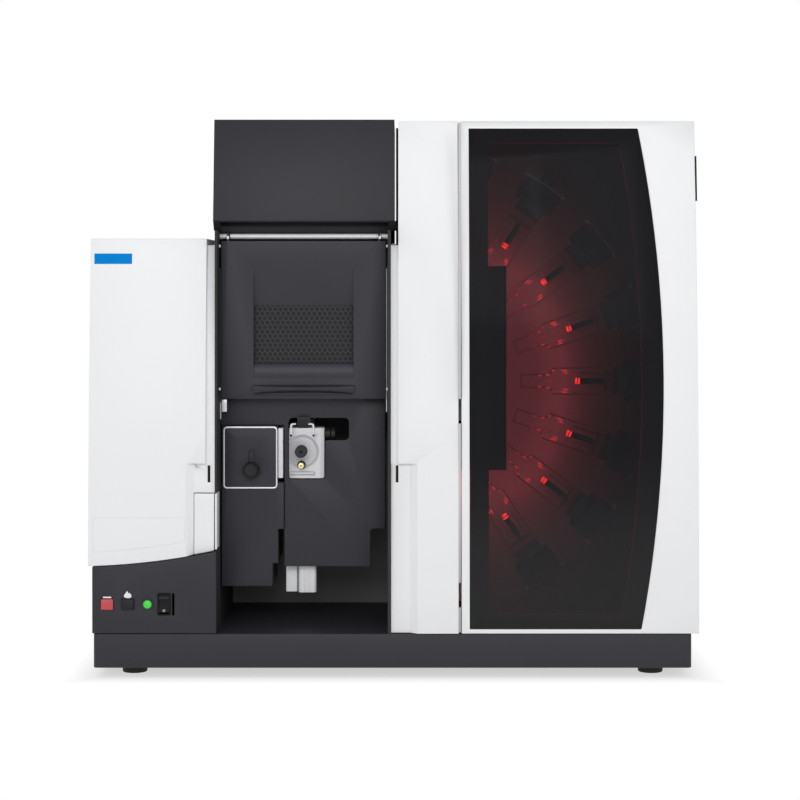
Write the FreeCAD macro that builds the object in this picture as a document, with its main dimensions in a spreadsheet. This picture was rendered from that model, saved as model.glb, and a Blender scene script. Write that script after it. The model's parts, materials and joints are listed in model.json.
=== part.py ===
import FreeCAD, Part
import math
import os
import Sketcher

V = FreeCAD.Vector

# Driving dimensions in millimetres and degrees.
# x runs to the right, y to the back and z up; z = 0 is the bench that the feet stand on.
SIZES = {
    # Overall box and the gentle bulge that all white fronts share
    "grip_proud": 2,
    "overall_depth": 580,
    "rear_fitting_depth": 28,
    "tower_headroom": 17,
    "left_drop": 11,
    "rear_drop": 14,
    "rear_in": 2,
    "bulge_radius": 5000,
    "top_edge_radius": 2.5,
    "skin": 3,
    "seam": 1,
    "fit_gap": 0.3,
    # Base and feet
    "foot_height": 13,
    "foot_radius": 17.5,
    "foot_inset": 48,
    "base_height": 44,
    "base_inset_left": 6.3,
    "base_inset_right": 9,
    "base_inset_front": 4,
    "base_corner": 6,
    "bottom_sheet": 2,
    # Places across the front
    "left_edge_in": 163,
    "left_strip": 11.7,
    "compartment_width": 221.4,
    "wall": 3,
    "right_wall_skin": 4,
    "sheet_gap": 0.2,
    "return_deep": 44,
    "column_strip": 9.4,
    "column_width": 78,
    "door_gap": 4,
    "strip_drop": 19.3,
    # Recess beside the compartment
    "step_back": 8,
    "ledge_height": 277,
    "slope_outer": 25,
    "slope_inner": 15,
    "slot_width": 3.3,
    "slot_height": 22,
    "slot_drop": 3,
    "left_slot_in": 1.5,
    "right_slot_in": 3.1,
    "corner_height": 238,
    "corner_wrap": 45,
    "wall_gap": 0.5,
    # Dark control panel with its sweeping upper edge
    "sweep_left": 145,
    "sweep_right": 165.5,
    "sweep_radius": 907,
    "panel_inset_side": 5.2,
    "panel_inset_front": 2,
    "button_width": 16,
    "button_height": 14,
    "button_middle": 95.6,
    "red_button_in": 24.6,
    "black_button_in": 51.2,
    "button_proud": 2,
    "button_travel": 2,
    "button_corner": 1,
    "button_shoulder": 1,
    "stem_radius": 3,
    "stem_reach": 12,
    "switch_half": 8,
    "switch_deep": 16,
    "switch_bore": 14,
    "board_margin": 10,
    "board_above": 12,
    "board_thick": 2,
    "lens_in": 76.7,
    "lens_radius": 6.2,
    "lens_dome_height": 2,
    "lens_stem": 4,
    "rocker_in": 98.2,
    "rocker_width": 16.8,
    "rocker_height": 28.5,
    "rocker_tilt_angle": 8,
    "rocker_pivot": 7,
    "rocker_pin": 1.5,
    "rocker_short": 2.7,
    "rocker_crest": 7.4,
    "rocker_dip": 5.6,
    "rocker_below": 4,
    "rocker_taper": 2,
    "housing_rim": 0.8,
    "housing_wall": 1.2,
    "housing_deep": 22,
    "housing_well": 18,
    "recess_in": 1.8,
    "recess_width": 3.2,
    "badge_in": 5,
    "badge_width": 49,
    "badge_drop": 19.5,
    "badge_tall": 13.5,
    "badge_thick": 0.6,
    # Depths inside the compartment
    "shield_depth": 40,
    "panel_depth": 64,
    "gas_depth": 60,
    "back_wall_depth": 260,
    "beam_depth": 175,
    "beam_height": 379,
    "beam_hole": 15,
    "window_slack": 0.1,
    "left_wall_in": 9,
    "right_wall_in": 5,
    "lift_rail_deep": 15,
    "lift_rail_half": 12,
    "lift_rail_below": 89.4,
    "lift_rail_above": 70.6,
    # Hood
    "hood_lap": 4,
    "hood_right_gap": 5,
    "hood_lip_rise": 12.6,
    "hood_lip_depth": 28,
    "hood_lean": 19,
    "hood_cheek": 7.5,
    "hood_above_beam": 201,
    "hood_tall": 146,
    "hood_skin": 2.5,
    "hood_back_lap": 7,
    "baffle_drop": 3.6,
    "baffle_headroom": 69.6,
    "baffle_gap": 3.4,
    "hood_rim": 12,
    "hood_vent_in": 30,
    "hood_vent_front": 20,
    "hood_vent_width": 8,
    "hood_vent_count": 11,
    "hood_vent_pitch": 17,
    # Flame shield
    "rod_radius": 3.6,
    "rod_drop": 7.6,
    "rod_depth": 54,
    "running_gap": 0.05,
    "shield_drop": 6.2,
    "shield_foot": 27.4,
    "shield_skin": 2.5,
    "shield_side_gap": 2.6,
    "flange_depth": 18,
    "flange_drop": 20,
    "lug_in": 7.8,
    "lug_foot": 6,
    "lug_wall": 3,
    "scoop_width": 131,
    "scoop_drop": 31.5,
    "scoop_deep": 12,
    "scoop_lap": 3,
    "hollow_radius": 24,
    "mesh_drop": 84,
    "mesh_tall": 76.7,
    "scoop_tail": 19.1,
    "mesh_pitch": 9.6,
    "mesh_web": 1.8,
    "mesh_rim": 3,
    "mesh_thick": 1.2,
    "grip_width": 137,
    "grip_above": 5,
    "grip_thick": 13,
    "grip_reach": 11,
    "rail_below": 18,
    "rail_drop": 35.2,
    "rail_gap": 1.5,
    "rail_back_gap": 2,
    "rail_left_gap": 0.6,
    "rail_foot": 8,
    "rail_foot_gap": 2,
    "stop_in": 13,
    "stop_radius": 2,
    "stop_reach": 2.1,
    # Burner panel and gas cover
    "panel_skin": 3,
    "burner_left_in": 84.3,
    "burner_right_gap": 4,
    "burner_low": 136,
    "burner_step_height": 186,
    "burner_step_in": 19.5,
    "burner_step_corner": 5.5,
    "tab_reach": 10,
    "tab_tall": 50,
    "tab_drop": 5,
    "sill": 2,
    "band_above": 33.6,
    "band_overlap": 41,
    "cut_left_in": 89.8,
    "cut_width": 47.8,
    "cut_margin": 1.4,
    "cut_above": 43.1,
    "cut_side_reach": 79.9,
    "cut_side_above": 13.5,
    "cut_low_corner": 5,
    "cut_side_corner": 4,
    "cut_high_corner": 6,
    "gas_left_gap": 1.6,
    "gas_width": 82.2,
    "gas_low": 110.5,
    "gas_back": 105,
    "gas_skin": 2,
    "gas_foot_in": 15,
    "gas_foot_tall": 30.4,
    "gas_step_in": 7.6,
    "gas_notch_in": 8,
    "gas_notch_below": 5.7,
    "gas_top_gap": 0.5,
    "gas_tab_rise": 39.5,
    "gas_tab_drop": 43,
    "gas_tab": 20,
    "gas_tab_in": 40,
    "oxidant_in": 1.2,
    "oxidant_drop": 0.4,
    "oxidant_deep": 80,
    # Height adjuster
    "frame_left_in": 3.8,
    "frame_width": 71.6,
    "frame_below": 49.9,
    "frame_above": 32,
    "frame_line": 2,
    "frame_corner": 5,
    "frame_raise": 2.5,
    "plate_corner": 3,
    "plate_raise": 1.5,
    "adjuster_in": 41.1,
    "adjuster_below": 24.8,
    "adjuster_travel": 22,
    "adjuster_slot": 7.8,
    "slot_flat": 0.01,
    "slider_half": 9,
    "slider_deep": 11.7,
    "guide_lip": 2,
    "guide_open": 6.5,
    "guide_margin": 12,
    "collar_radius": 5.5,
    "collar_thick": 3,
    "adjuster_shaft": 3.5,
    "knob_radius": 10.5,
    "knob_reach": 18,
    "knob_chamfer": 1.2,
    # Spray chamber and burner
    "chamber_width": 46.6,
    "chamber_side_gap": 0.8,
    "chamber_below": 36.4,
    "chamber_above": 30,
    "chamber_proud": 4,
    "chamber_deep": 25,
    "chamber_corner": 3,
    "ring_outer": 19.5,
    "ring_inner": 17,
    "ring_deep": 1,
    "groove_left_in": 1,
    "groove_right_in": 12,
    "groove_foot": 1.5,
    "groove_tall": 4.5,
    "groove_corner": 2,
    "groove_deep": 1.2,
    "bracket_in": 6.2,
    "bracket_width": 16.9,
    "bracket_tall": 18.6,
    "bracket_gap": 2,
    "bracket_deep": 11,
    "burner_in": 107.3,
    "boss_below_beam": 89.6,
    "boss_radius": 22,
    "boss_margin": 1,
    "carriage_half": 10,
    "neck_radius": 14,
    "neck_bore": 11,
    "neck_deep": 20,
    "neck_rise": 36,
    "neb_knob_radius": 8,
    "neb_knob_reach": 20,
    "neb_knob_chamfer": 1,
    "neb_hole": 1.8,
    "neb_hole_deep": 6,
    "neb_shaft": 4,
    "neb_shaft_reach": 18,
    "neb_bore_deep": 20,
    "brass_radius": 4,
    "brass_drop": 18.5,
    "brass_hexagon": 6,
    "brass_reach": 18,
    "brass_step": 1,
    "brass_bore": 0.8,
    "brass_bore_deep": 6,
    "clip_wire": 1,
    "clip_above": 21.2,
    "clip_rise": 14,
    "left_clip_in": 13.4,
    "right_clip_in": 15.1,
    "clip_inset": 5,
    "clip_boss": 1.4,
    "clip_bend": 2.2,
    "clip_depth": 8,
    "lock_radius": 8,
    "lock_above": 21.6,
    "lock_in": 16,
    "lock_reach": 14.6,
    "lock_chamfer": 1,
    "lock_groove": 8,
    "lock_groove_half": 1,
    "lock_groove_deep": 1.5,
    "lock_shaft": 3,
    "lock_shaft_reach": 7.5,
    "lock_bore_deep": 8,
    "burner_length": 100,
    "burner_below_beam": 6,
    "head_tall": 28,
    "head_half": 14,
    "head_shoulder": 15,
    "head_top_half": 6,
    "head_lap": 2,
    "neck_slack": 0.1,
    "flame_slot_half": 0.4,
    "flame_slot_deep": 12,
    "flame_slot_in": 3,
    "trap_low": 99,
    "trap_radius": 11.8,
    "tube_radius": 7.6,
    "trap_right": 6.5,
    "trap_back": 6,
    "trap_gap": 1.7,
    "trap_below": 7,
    "tube_behind": 5,
    "bridge_front": 19,
    "bridge_back": 12.6,
    "bridge_tall": 6,
    "spigot_radius": 5,
    "spigot_in": 8,
    # Lamp door
    "window_in": 10.5,
    "window_foot": 5.5,
    "window_head": 10,
    "window_right_in": 74.5,
    "window_radius": 1778,
    "pane": 4,
    "pane_in": 0.6,
    "door_depth": 70,
    "lip": 5,
    "door_grip_drop": 105.5,
    "door_grip_length": 59,
    "door_grip_width": 18,
    "door_grip_in": 5,
    "door_grip_box": 6,
    "door_grip_front": 5,
    "door_grip_back": 2,
    "door_grip_end": 4,
    "door_grip_deep": 4,
    "hinge_in": 55,
    "hinge_depth": 22,
    "pin_radius": 4,
    "arm_height": 30,
    "arm_low": 92,
    "arm_high": 330,
    "arm_thick": 5,
    "lug": 5,
    "neck_reach": 31,
    "post_in": 16,
    "post_front": 8,
    "post_lip": 7,
    "post_lap": 2,
    "post_above": 2,
    "lug_half": 7,
    "lug_clear": 3,
    "press_gap": 0.02,
    # Lamp fan
    "fan_in": 22.7,
    "lamp_side_room": 38.3,
    "lamp_count": 8,
    "lamp_step_angle": 18.8,
    "lamp_first_angle": 56.4,
    "lamp_tip": 141.6,
    "lamp_shoulder": 173,
    "lamp_body": 181,
    "lamp_end": 268,
    "lamp_base_end": 283,
    "lamp_cap_end": 316,
    "lamp_plug_end": 328,
    "snout_radius": 12.3,
    "lamp_radius": 18.4,
    "base_in": 1,
    "shoulder_in": 0.5,
    "glass": 1.2,
    "holder_half": 26,
    "holder_corner": 2,
    "plug_radius": 9,
    "plug_taper": 2,
    "sunk": 1,
    "foot_half": 11,
    "foot_margin": 4,
    "cathode_radius": 3.8,
    "cathode_start": 222.7,
    "cathode_end": 252,
    "cathode_stem": 1,
    "anode_offset": 10.9,
    "anode_half": 0.9,
    "anode_lead": 2,
    "plate_depth": 148,
    "fan_depth": 108,
    "shroud_in": 4,
    "shroud_below": 116.5,
    "shroud_above": 154.6,
    "shroud_left_in": 6,
    "shroud_reach": 121,
    "spacer_radius": 4,
    "spacer_in": 6,
    "spacer_reach": 66,
    "motor_deep": 30,
    "motor_half": 14,
    "motor_bore": 12,
    "mirror_shaft": 2.5,
    "shaft_clear": 1.5,
    "hub_radius": 12,
    "hub_front": 16,
    "hub_back": 12,
    "mirror_margin": 2,
    "fold_half": 18,
    "fold_thick": 5,
    # Vents, optics and supply behind
    "vent_width": 90,
    "vent_tall": 5,
    "vent_pitch": 12,
    "vent_drop": 186,
    "vent_in": 40,
    "vent_count": 12,
    "tower_vent_width": 110,
    "tower_vent_in": 50,
    "tower_vent_drop": 254,
    "tower_vent_count": 14,
    "optics_in_left": 175,
    "optics_in_right": 30,
    "optics_in_front": 30,
    "optics_in_back": 25,
    "optics_below": 79,
    "optics_above": 101,
    "optics_corner": 12,
    "leg_radius": 9,
    "leg_in": 14,
    "supply_in_left": 30,
    "supply_in_right": 60,
    "supply_in_front": 50,
    "supply_in_back": 30,
    "supply_height": 90,
    "inlet_in": 80,
    "inlet_half": 14,
    "inlet_middle": 101,
    "inlet_tall": 22,
    "inlet_deep": 18,
    "flange_margin": 6,
    "flange_corner": 3,
    "flange_thick": 3,
    "socket_side": 2,
    "socket_edge": 3,
    "socket_deep": 14,
    "gas_inlet_in": 50,
    "gas_inlet_pitch": 40,
    "gas_inlet_count": 3,
    "gas_inlet_height": 120,
    "gas_nut_radius": 9,
    "gas_nut_thick": 8,
    "gas_spout_radius": 5,
    "gas_spout_taper": 2,
    "gas_spout_tip": 3.5,
    "gas_bore": 2,
    "gas_bore_end": 6,
}

doc = FreeCAD.newDocument("absorption_spectrophotometer")
sheet = doc.addObject("Spreadsheet::Sheet", "Dims")
for row, (alias, value) in enumerate(SIZES.items(), start=1):
    sheet.set(f"A{row}", alias)
    sheet.set(f"B{row}", str(value))
    sheet.setAlias(f"B{row}", alias)
doc.recompute()


class Size:
    """A length, held as a number and as the sheet expression that drives it."""

    def __init__(self, number, text):
        self.number = number
        self.text = text

    def __add__(self, other):
        other = as_size(other)
        return Size(self.number + other.number, f"({self.text} + {other.text})")

    def __sub__(self, other):
        other = as_size(other)
        return Size(self.number - other.number, f"({self.text} - {other.text})")

    def __mul__(self, other):
        other = as_size(other)
        return Size(self.number * other.number, f"({self.text} * {other.text})")

    def __truediv__(self, other):
        other = as_size(other)
        return Size(self.number / other.number, f"({self.text} / {other.text})")

    def __neg__(self):
        return Size(-self.number, f"(-{self.text})")

    def __radd__(self, other):
        return as_size(other) + self

    def __rsub__(self, other):
        return as_size(other) - self

    def __rmul__(self, other):
        return as_size(other) * self


class Dimensions:
    """The sheet's sizes, one attribute for each alias."""

    def __getattr__(self, alias):
        return Size(float(sheet.get(alias)), f"Dims.{alias}")


def as_size(value):
    if isinstance(value, Size):
        return value
    return Size(float(value), f"({value})")


def root_of(size):
    return Size(math.sqrt(size.number), f"sqrt({size.text})")


def bind(thing, prop, size):
    thing.setExpression(prop, as_size(size).text)


d = Dimensions()
pieces = []


# Sketches and features

def new_body(label):
    body = doc.addObject("PartDesign::Body", label)
    body.Label = label
    pieces.append(body)
    return body


def sketch_on(body, plane, at=0, centre=(0, 0), turn=None):
    """A sketch on one of the body's own origin planes, moved along its axis to 'at'."""
    sketch = body.newObject("Sketcher::SketchObject", "Sketch")
    support = next(f for f in body.Origin.OriginFeatures if f.Role == plane)
    sketch.AttachmentSupport = [(support, "")]
    sketch.MapMode = "FlatFace"
    along = -as_size(at) if plane == "XZ_Plane" else as_size(at)
    bind(sketch, "AttachmentOffset.Base.x", centre[0])
    bind(sketch, "AttachmentOffset.Base.y", centre[1])
    bind(sketch, "AttachmentOffset.Base.z", along)
    if turn is not None:
        bind(sketch, "AttachmentOffset.Rotation.Angle", turn)
    return sketch


def fix_point(sketch, side, spot, across, up):
    for kind, size in (("DistanceX", across), ("DistanceY", up)):
        index = sketch.addConstraint(Sketcher.Constraint(kind, side, spot, size.number))
        sketch.setExpression(f"Constraints[{index}]", size.text)


def fix_radius(sketch, side, radius):
    index = sketch.addConstraint(Sketcher.Constraint("Radius", side, radius.number))
    sketch.setExpression(f"Constraints[{index}]", radius.text)


def arc_between(here, there, radius, turn):
    chord = there - here
    half = chord.Length / 2
    left = V(-chord.y, chord.x, 0).normalize()
    centre = (here + there) * 0.5 + left * (turn * math.sqrt(radius * radius - half * half))
    angles = [math.atan2(p.y - centre.y, p.x - centre.x) for p in (here, there)]
    if turn < 0:
        angles.reverse()
    if angles[1] < angles[0]:
        angles[1] += 2 * math.pi
    return Part.ArcOfCircle(Part.Circle(centre, V(0, 0, 1), radius), angles[0], angles[1])


def outline(sketch, corners, arcs=None):
    """A closed outline. arcs gives, for a side's number, its radius and its turn:
    1 where the side curves to the left as it is followed, -1 to the right."""
    arcs = arcs or {}
    corners = [(as_size(a), as_size(b)) for a, b in corners]
    spots = [V(a.number, b.number, 0) for a, b in corners]
    base = sketch.GeometryCount
    count = len(corners)
    ends = []
    for side in range(count):
        here, there = spots[side], spots[(side + 1) % count]
        if side in arcs:
            radius, turn = arcs[side]
            sketch.addGeometry(arc_between(here, there, as_size(radius).number, turn), False)
            ends.append((1, 2) if turn > 0 else (2, 1))
        else:
            sketch.addGeometry(Part.LineSegment(here, there), False)
            ends.append((1, 2))
    for side in range(count):
        after = (side + 1) % count
        sketch.addConstraint(Sketcher.Constraint(
            "Coincident", base + side, ends[side][1], base + after, ends[after][0]))
    for side, (across, up) in enumerate(corners):
        fix_point(sketch, base + side, ends[side][0], across, up)
    for side, (radius, turn) in arcs.items():
        fix_radius(sketch, base + side, as_size(radius))


def circle(sketch, across, up, radius):
    across, up, radius = as_size(across), as_size(up), as_size(radius)
    spot = V(across.number, up.number, 0)
    side = sketch.addGeometry(Part.Circle(spot, V(0, 0, 1), radius.number), False)
    fix_point(sketch, side, 3, across, up)
    fix_radius(sketch, side, radius)


def rectangle(left, low, right, high):
    return [(left, low), (right, low), (right, high), (left, high)]


def softened(corners, radii):
    """Square corners with some of them rounded; returns corners and arcs for outline."""
    corners = [(as_size(a), as_size(b)) for a, b in corners]
    count = len(corners)
    points, arcs = [], {}
    for index, (across, up) in enumerate(corners):
        radius = radii.get(index)
        if radius is None:
            points.append((across, up))
            continue
        before, after = corners[index - 1], corners[(index + 1) % count]
        into = direction(before, (across, up))
        out = direction((across, up), after)
        points.append((across - radius * into[0], up - radius * into[1]))
        arcs[len(points) - 1] = (radius, 1 if into[0] * out[1] - into[1] * out[0] > 0 else -1)
        points.append((across + radius * out[0], up + radius * out[1]))
    return points, arcs


def direction(here, there):
    across = there[0].number - here[0].number
    up = there[1].number - here[1].number
    if abs(across) > abs(up):
        return (1 if across > 0 else -1, 0)
    return (0, 1 if up > 0 else -1)


def round_rectangle(left, low, right, high, radius):
    return softened(rectangle(left, low, right, high), {n: radius for n in range(4)})


def along(body, kind, sketch, length, plane):
    """Pads or pockets a sketch towards the plane's positive axis."""
    feature = body.newObject(f"PartDesign::{kind}", kind)
    feature.Profile = sketch
    forward = plane != "XZ_Plane"
    feature.Reversed = forward if kind == "Pocket" else not forward
    bind(feature, "Length", length)
    return feature


def add(body, plane, shape, start, end):
    """Adds the prism of an outline between two places on the plane's axis."""
    sketch = sketch_on(body, plane, start)
    draw(sketch, shape)
    return along(body, "Pad", sketch, as_size(end) - start, plane)


def cut(body, plane, shape, start, end):
    """Cuts the prism of an outline between two places on the plane's axis."""
    sketch = sketch_on(body, plane, start)
    draw(sketch, shape)
    return along(body, "Pocket", sketch, as_size(end) - start, plane)


def draw(sketch, shape):
    """Draws corners, (corners, arcs) or a list of ("circle", across, up, radius)."""
    if isinstance(shape, tuple):
        outline(sketch, *shape)
    elif shape[0][0] == "circle":
        for _, across, up, radius in shape:
            circle(sketch, across, up, radius)
    else:
        outline(sketch, shape)


def turned(body, plane, corners, at, centre, axis, angle=360, arcs=None):
    """Revolves an outline about an axis of its own sketch."""
    sketch = sketch_on(body, plane, at, centre)
    outline(sketch, corners, arcs)
    feature = body.newObject("PartDesign::Revolution", "Revolution")
    feature.Profile = sketch
    feature.ReferenceAxis = (sketch, [axis])
    feature.Angle = angle
    return feature


def near(place, size):
    return abs(place - size.number) < 0.1


def rounded_edges(body, radius, wanted):
    """Rounds the edges of the body whose middle point passes the test."""
    doc.recompute()
    base = body.Tip
    names = []
    for number, edge in enumerate(base.Shape.Edges, start=1):
        if wanted(edge.CenterOfMass):
            names.append(f"Edge{number}")
    feature = body.newObject("PartDesign::Fillet", "Fillet")
    feature.Base = (base, names)
    bind(feature, "Radius", radius)
    return feature


# Places worked out from the sizes

cover_width = (d.left_edge_in + d.wall + d.compartment_width + d.right_wall_skin + d.sheet_gap
               + d.column_strip + d.fan_in + d.lamp_plug_end + d.lamp_side_room)
left = -(cover_width + d.grip_proud) / 2
right = left + cover_width
front = -d.overall_depth / 2
rear = d.overall_depth / 2 - d.rear_fitting_depth
base_top = d.foot_height + d.base_height
cover_low = base_top + d.seam

strip_right = left + d.left_edge_in
strip_left = strip_right - d.left_strip
wall_left = strip_right + d.wall
wall_right = wall_left + d.compartment_width
wall_outer = wall_right + d.right_wall_skin
column_strip_left = wall_outer + d.sheet_gap
column_left = column_strip_left + d.column_strip
column_right = column_left + d.column_width
door_left = column_right + d.door_gap
window_left = door_left + d.window_in
window_right = right - d.window_right_in
hinge_x = column_left + d.hinge_in
fan_x = column_left + d.fan_in

split = front + d.back_wall_depth + d.wall
beam_y = front + d.beam_depth
door_back = front + d.door_depth
rod_y = front + d.rod_depth
shield_y = front + d.shield_depth
panel_y = front + d.panel_depth
gas_y = front + d.gas_depth
burner_x = wall_left + d.burner_in

hood_bottom = d.beam_height + d.hood_above_beam
hood_height = hood_bottom + d.hood_tall
left_height = hood_bottom - d.left_drop
rear_height = hood_bottom - d.rear_drop
strip_top = hood_bottom - d.strip_drop
badge_high = left_height - d.badge_drop
badge_low = badge_high - d.badge_tall
hood_lip_height = hood_bottom + d.hood_lip_rise
baffle_bottom = hood_bottom - d.baffle_drop
rod_height = hood_bottom - d.rod_drop
shield_top = rod_height - d.shield_drop
scoop_top = shield_top - d.scoop_drop
mesh_top = shield_top - d.mesh_drop
mesh_bottom = mesh_top - d.mesh_tall
scoop_bottom = mesh_bottom - d.scoop_tail
shield_bottom = scoop_bottom - d.shield_foot
grip_low = shield_bottom + d.grip_above
grip_high = grip_low + d.grip_thick
rail_low = shield_bottom - d.rail_below
rail_high = shield_top - d.rail_drop
band_high = shield_bottom + d.band_overlap

tower_height = d.beam_height + d.lamp_plug_end + d.tower_headroom
window_low = cover_low + d.window_foot
window_high = tower_height - d.window_head
grip_bottom = tower_height - d.door_grip_drop
burner_top = d.beam_height - d.burner_below_beam
boss_height = d.beam_height - d.boss_below_beam
chamber_low = boss_height - d.chamber_below
chamber_high = boss_height + d.chamber_above
clip_height = boss_height + d.clip_above
lock_height = boss_height + d.lock_above
cut_low = chamber_low - d.cut_margin
cut_high = boss_height + d.cut_above
cut_side_low = boss_height + d.cut_side_above
band_low = boss_height + d.band_above
frame_low = boss_height - d.frame_below
frame_high = boss_height + d.frame_above
adjuster_height = boss_height - d.adjuster_below


def front_at(height, inset=0):
    """Depth of the bulged front, or of a skin 'inset' behind it, at a height."""
    rise = as_size(height) - base_top
    reach = d.bulge_radius - inset
    return front + d.bulge_radius - root_of(reach * reach - rise * rise)


def bulge(low, high, back, inset=0):
    """Side outline between two heights, from the bulged front to a flat back."""
    corners = [(front_at(low, inset), low), (back, low), (back, high), (front_at(high, inset), high)]
    return corners, {3: (d.bulge_radius - inset, 1)}


def bulge_skin(low, high, inset, thick):
    """Side outline of a skin that follows the bulged front."""
    behind = inset + as_size(thick)
    corners = [(front_at(low, inset), low), (front_at(low, behind), low),
               (front_at(high, behind), high), (front_at(high, inset), high)]
    return corners, {1: (d.bulge_radius - behind, -1), 3: (d.bulge_radius - inset, 1)}


def sweep(above, margin, low, high):
    """Front outline under the sweeping edge, or above it up to a height."""
    start = left - margin
    end = strip_right + margin + d.wall
    sides = [(start, d.sweep_left + above), (end, d.sweep_right + above)]
    if high is None:
        return [(start, low), (end, low), sides[1], sides[0]], {2: (d.sweep_radius, -1)}
    return [sides[0], sides[1], (end, high), (start, high)], {0: (d.sweep_radius, 1)}


# Base

base_left = left + d.base_inset_left
base_right = right - d.base_inset_right
base_front = front + d.base_inset_front

tray = new_body("base_tray")
add(tray, "XY_Plane",
    softened(rectangle(base_left, base_front, base_right, rear), {n: d.base_corner for n in range(4)}),
    d.foot_height, base_top)
cut(tray, "XY_Plane",
    rectangle(base_left + d.skin, base_front + d.skin, base_right - d.skin, rear - d.skin),
    d.foot_height, base_top - d.skin)

bottom = new_body("bottom_plate")
add(bottom, "XY_Plane",
    rectangle(base_left + d.skin + d.fit_gap, base_front + d.skin + d.fit_gap,
              base_right - d.skin - d.fit_gap, rear - d.skin - d.fit_gap),
    d.foot_height, d.foot_height + d.bottom_sheet)

feet = new_body("rubber_feet")
foot_spots = [(x, y) for x in (base_left + d.foot_inset, base_right - d.foot_inset)
              for y in (base_front + d.foot_inset, rear - d.foot_inset)]
add(feet, "XY_Plane", [("circle", x, y, d.foot_radius) for x, y in foot_spots], 0, d.foot_height)


# White covers beside the compartment

def front_cover(label, main, strip, inward, height, strip_height, back):
    """A bulged cover with a set-back strip along the compartment and a recess below the ledge.
    main and strip are (outer x, inner x); inward is 1 where the compartment lies to the right."""
    cover = new_body(label)
    wide = d.skin + d.step_back
    edge = main[1]
    crease = edge - inward * d.slope_inner
    slope = edge - inward * d.slope_outer
    inner = slope - inward * d.skin

    def span(first, last):
        return (first, last) if inward > 0 else (last, first)

    add(cover, "YZ_Plane", bulge(cover_low, height, back), *span(main[0], main[1]))
    add(cover, "YZ_Plane", bulge(cover_low, strip_height, back, d.step_back), *span(strip[0], strip[1]))
    ceiling = height - d.skin
    low = cover_low - d.skin
    shut = main[0] + inward * d.skin
    behind = back + d.skin
    cut(cover, "YZ_Plane", bulge(low, ceiling, behind, d.skin), *span(shut, inner))
    cut(cover, "YZ_Plane", bulge(d.ledge_height + d.skin, ceiling, behind, d.skin),
        *span(inner, edge - inward * d.skin))
    cut(cover, "YZ_Plane", bulge(low, strip_height - d.skin, behind, wide),
        *span(inner, strip[1] - inward * d.skin))
    # recess that narrows the cover below the ledge
    cut(cover, "YZ_Plane", bulge_skin(low, d.ledge_height, -d.skin, wide), *span(crease, edge))
    path = sketch_on(cover, "YZ_Plane", crease)
    ends = [(front_at(low), as_size(low)), (front_at(d.ledge_height), d.ledge_height)]
    spots = [V(a.number, b.number, 0) for a, b in ends]
    path.addGeometry(arc_between(spots[0], spots[1], d.bulge_radius.number, -1), False)
    fix_point(path, 0, 2, *ends[0])
    fix_point(path, 0, 1, *ends[1])
    fix_radius(path, 0, d.bulge_radius)
    wedge = sketch_on(cover, "XY_Plane", low)
    outline(wedge, [(slope, front_at(low)), (crease, front_at(low) + d.step_back),
                    (crease, front_at(low) - d.skin), (slope, front_at(low) - d.skin)])
    recess = cover.newObject("PartDesign::SubtractivePipe", "SubtractivePipe")
    recess.Profile = wedge
    recess.Spine = path
    return cover


slot_high = d.ledge_height - d.slot_drop
slot_low = slot_high - d.slot_height

left_cover = front_cover("left_cover", (left, strip_left), (strip_left, strip_right), 1,
                         left_height, strip_top, split)
slot_left = strip_left + d.left_slot_in
cut(left_cover, "XZ_Plane", rectangle(slot_left, slot_low, slot_left + d.slot_width, slot_high),
    front - d.skin, front + d.corner_wrap)
corner_left = strip_left - d.slope_inner
cut(left_cover, "XZ_Plane",
    rectangle(corner_left - d.seam / 2, cover_low - d.skin, strip_right + d.skin, d.corner_height + d.seam),
    front - d.skin, front + d.corner_wrap)
sweep_shape = sweep(0, d.skin, cover_low - 2 * d.skin, None)
cut(left_cover, "XZ_Plane", sweep_shape, front - 2 * d.skin, split + d.skin)

corner = new_body("corner_cover")
add(corner, "YZ_Plane", bulge_skin(d.sweep_left, d.corner_height, d.step_back, d.skin),
    corner_left, strip_right - d.seam)
add(corner, "YZ_Plane",
    rectangle(front + d.step_back + d.skin, d.sweep_left, front + d.corner_wrap - d.seam, d.corner_height),
    strip_right - d.seam - d.skin, strip_right - d.seam)
add(corner, "YZ_Plane",
    rectangle(front + d.step_back, d.sweep_right, front + d.corner_wrap - d.seam, d.corner_height),
    strip_right + d.wall_gap, strip_right + d.wall)
add(corner, "YZ_Plane",
    rectangle(front + d.corner_wrap - d.seam - d.skin, d.sweep_right,
              front + d.corner_wrap - d.seam, d.corner_height),
    strip_right - d.seam, strip_right + d.wall_gap)
cut(corner, "XZ_Plane", sweep(0, d.skin, d.sweep_left - 3 * d.skin, None), front, split)

centre_cover = front_cover("centre_cover", (column_right, column_left),
                           (column_left, column_strip_left), -1, tower_height, strip_top, door_back)
right_slot = column_left - d.right_slot_in
cut(centre_cover, "XZ_Plane", rectangle(right_slot, slot_low, right_slot + d.slot_width, slot_high),
    front - d.skin, front + d.corner_wrap)


# Control panel

panel_front = front + d.panel_inset_front
panel_left = left + d.panel_inset_side
panel_right = wall_left - d.wall_gap
button_low = d.button_middle - d.button_height / 2
button_high = d.button_middle + d.button_height / 2
red_x = left + d.red_button_in
black_x = left + d.black_button_in
lens_x = left + d.lens_in
rocker_x = left + d.rocker_in
rocker_low = d.button_middle - d.rocker_height / 2
rocker_high = d.button_middle + d.rocker_height / 2
play = d.fit_gap

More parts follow.
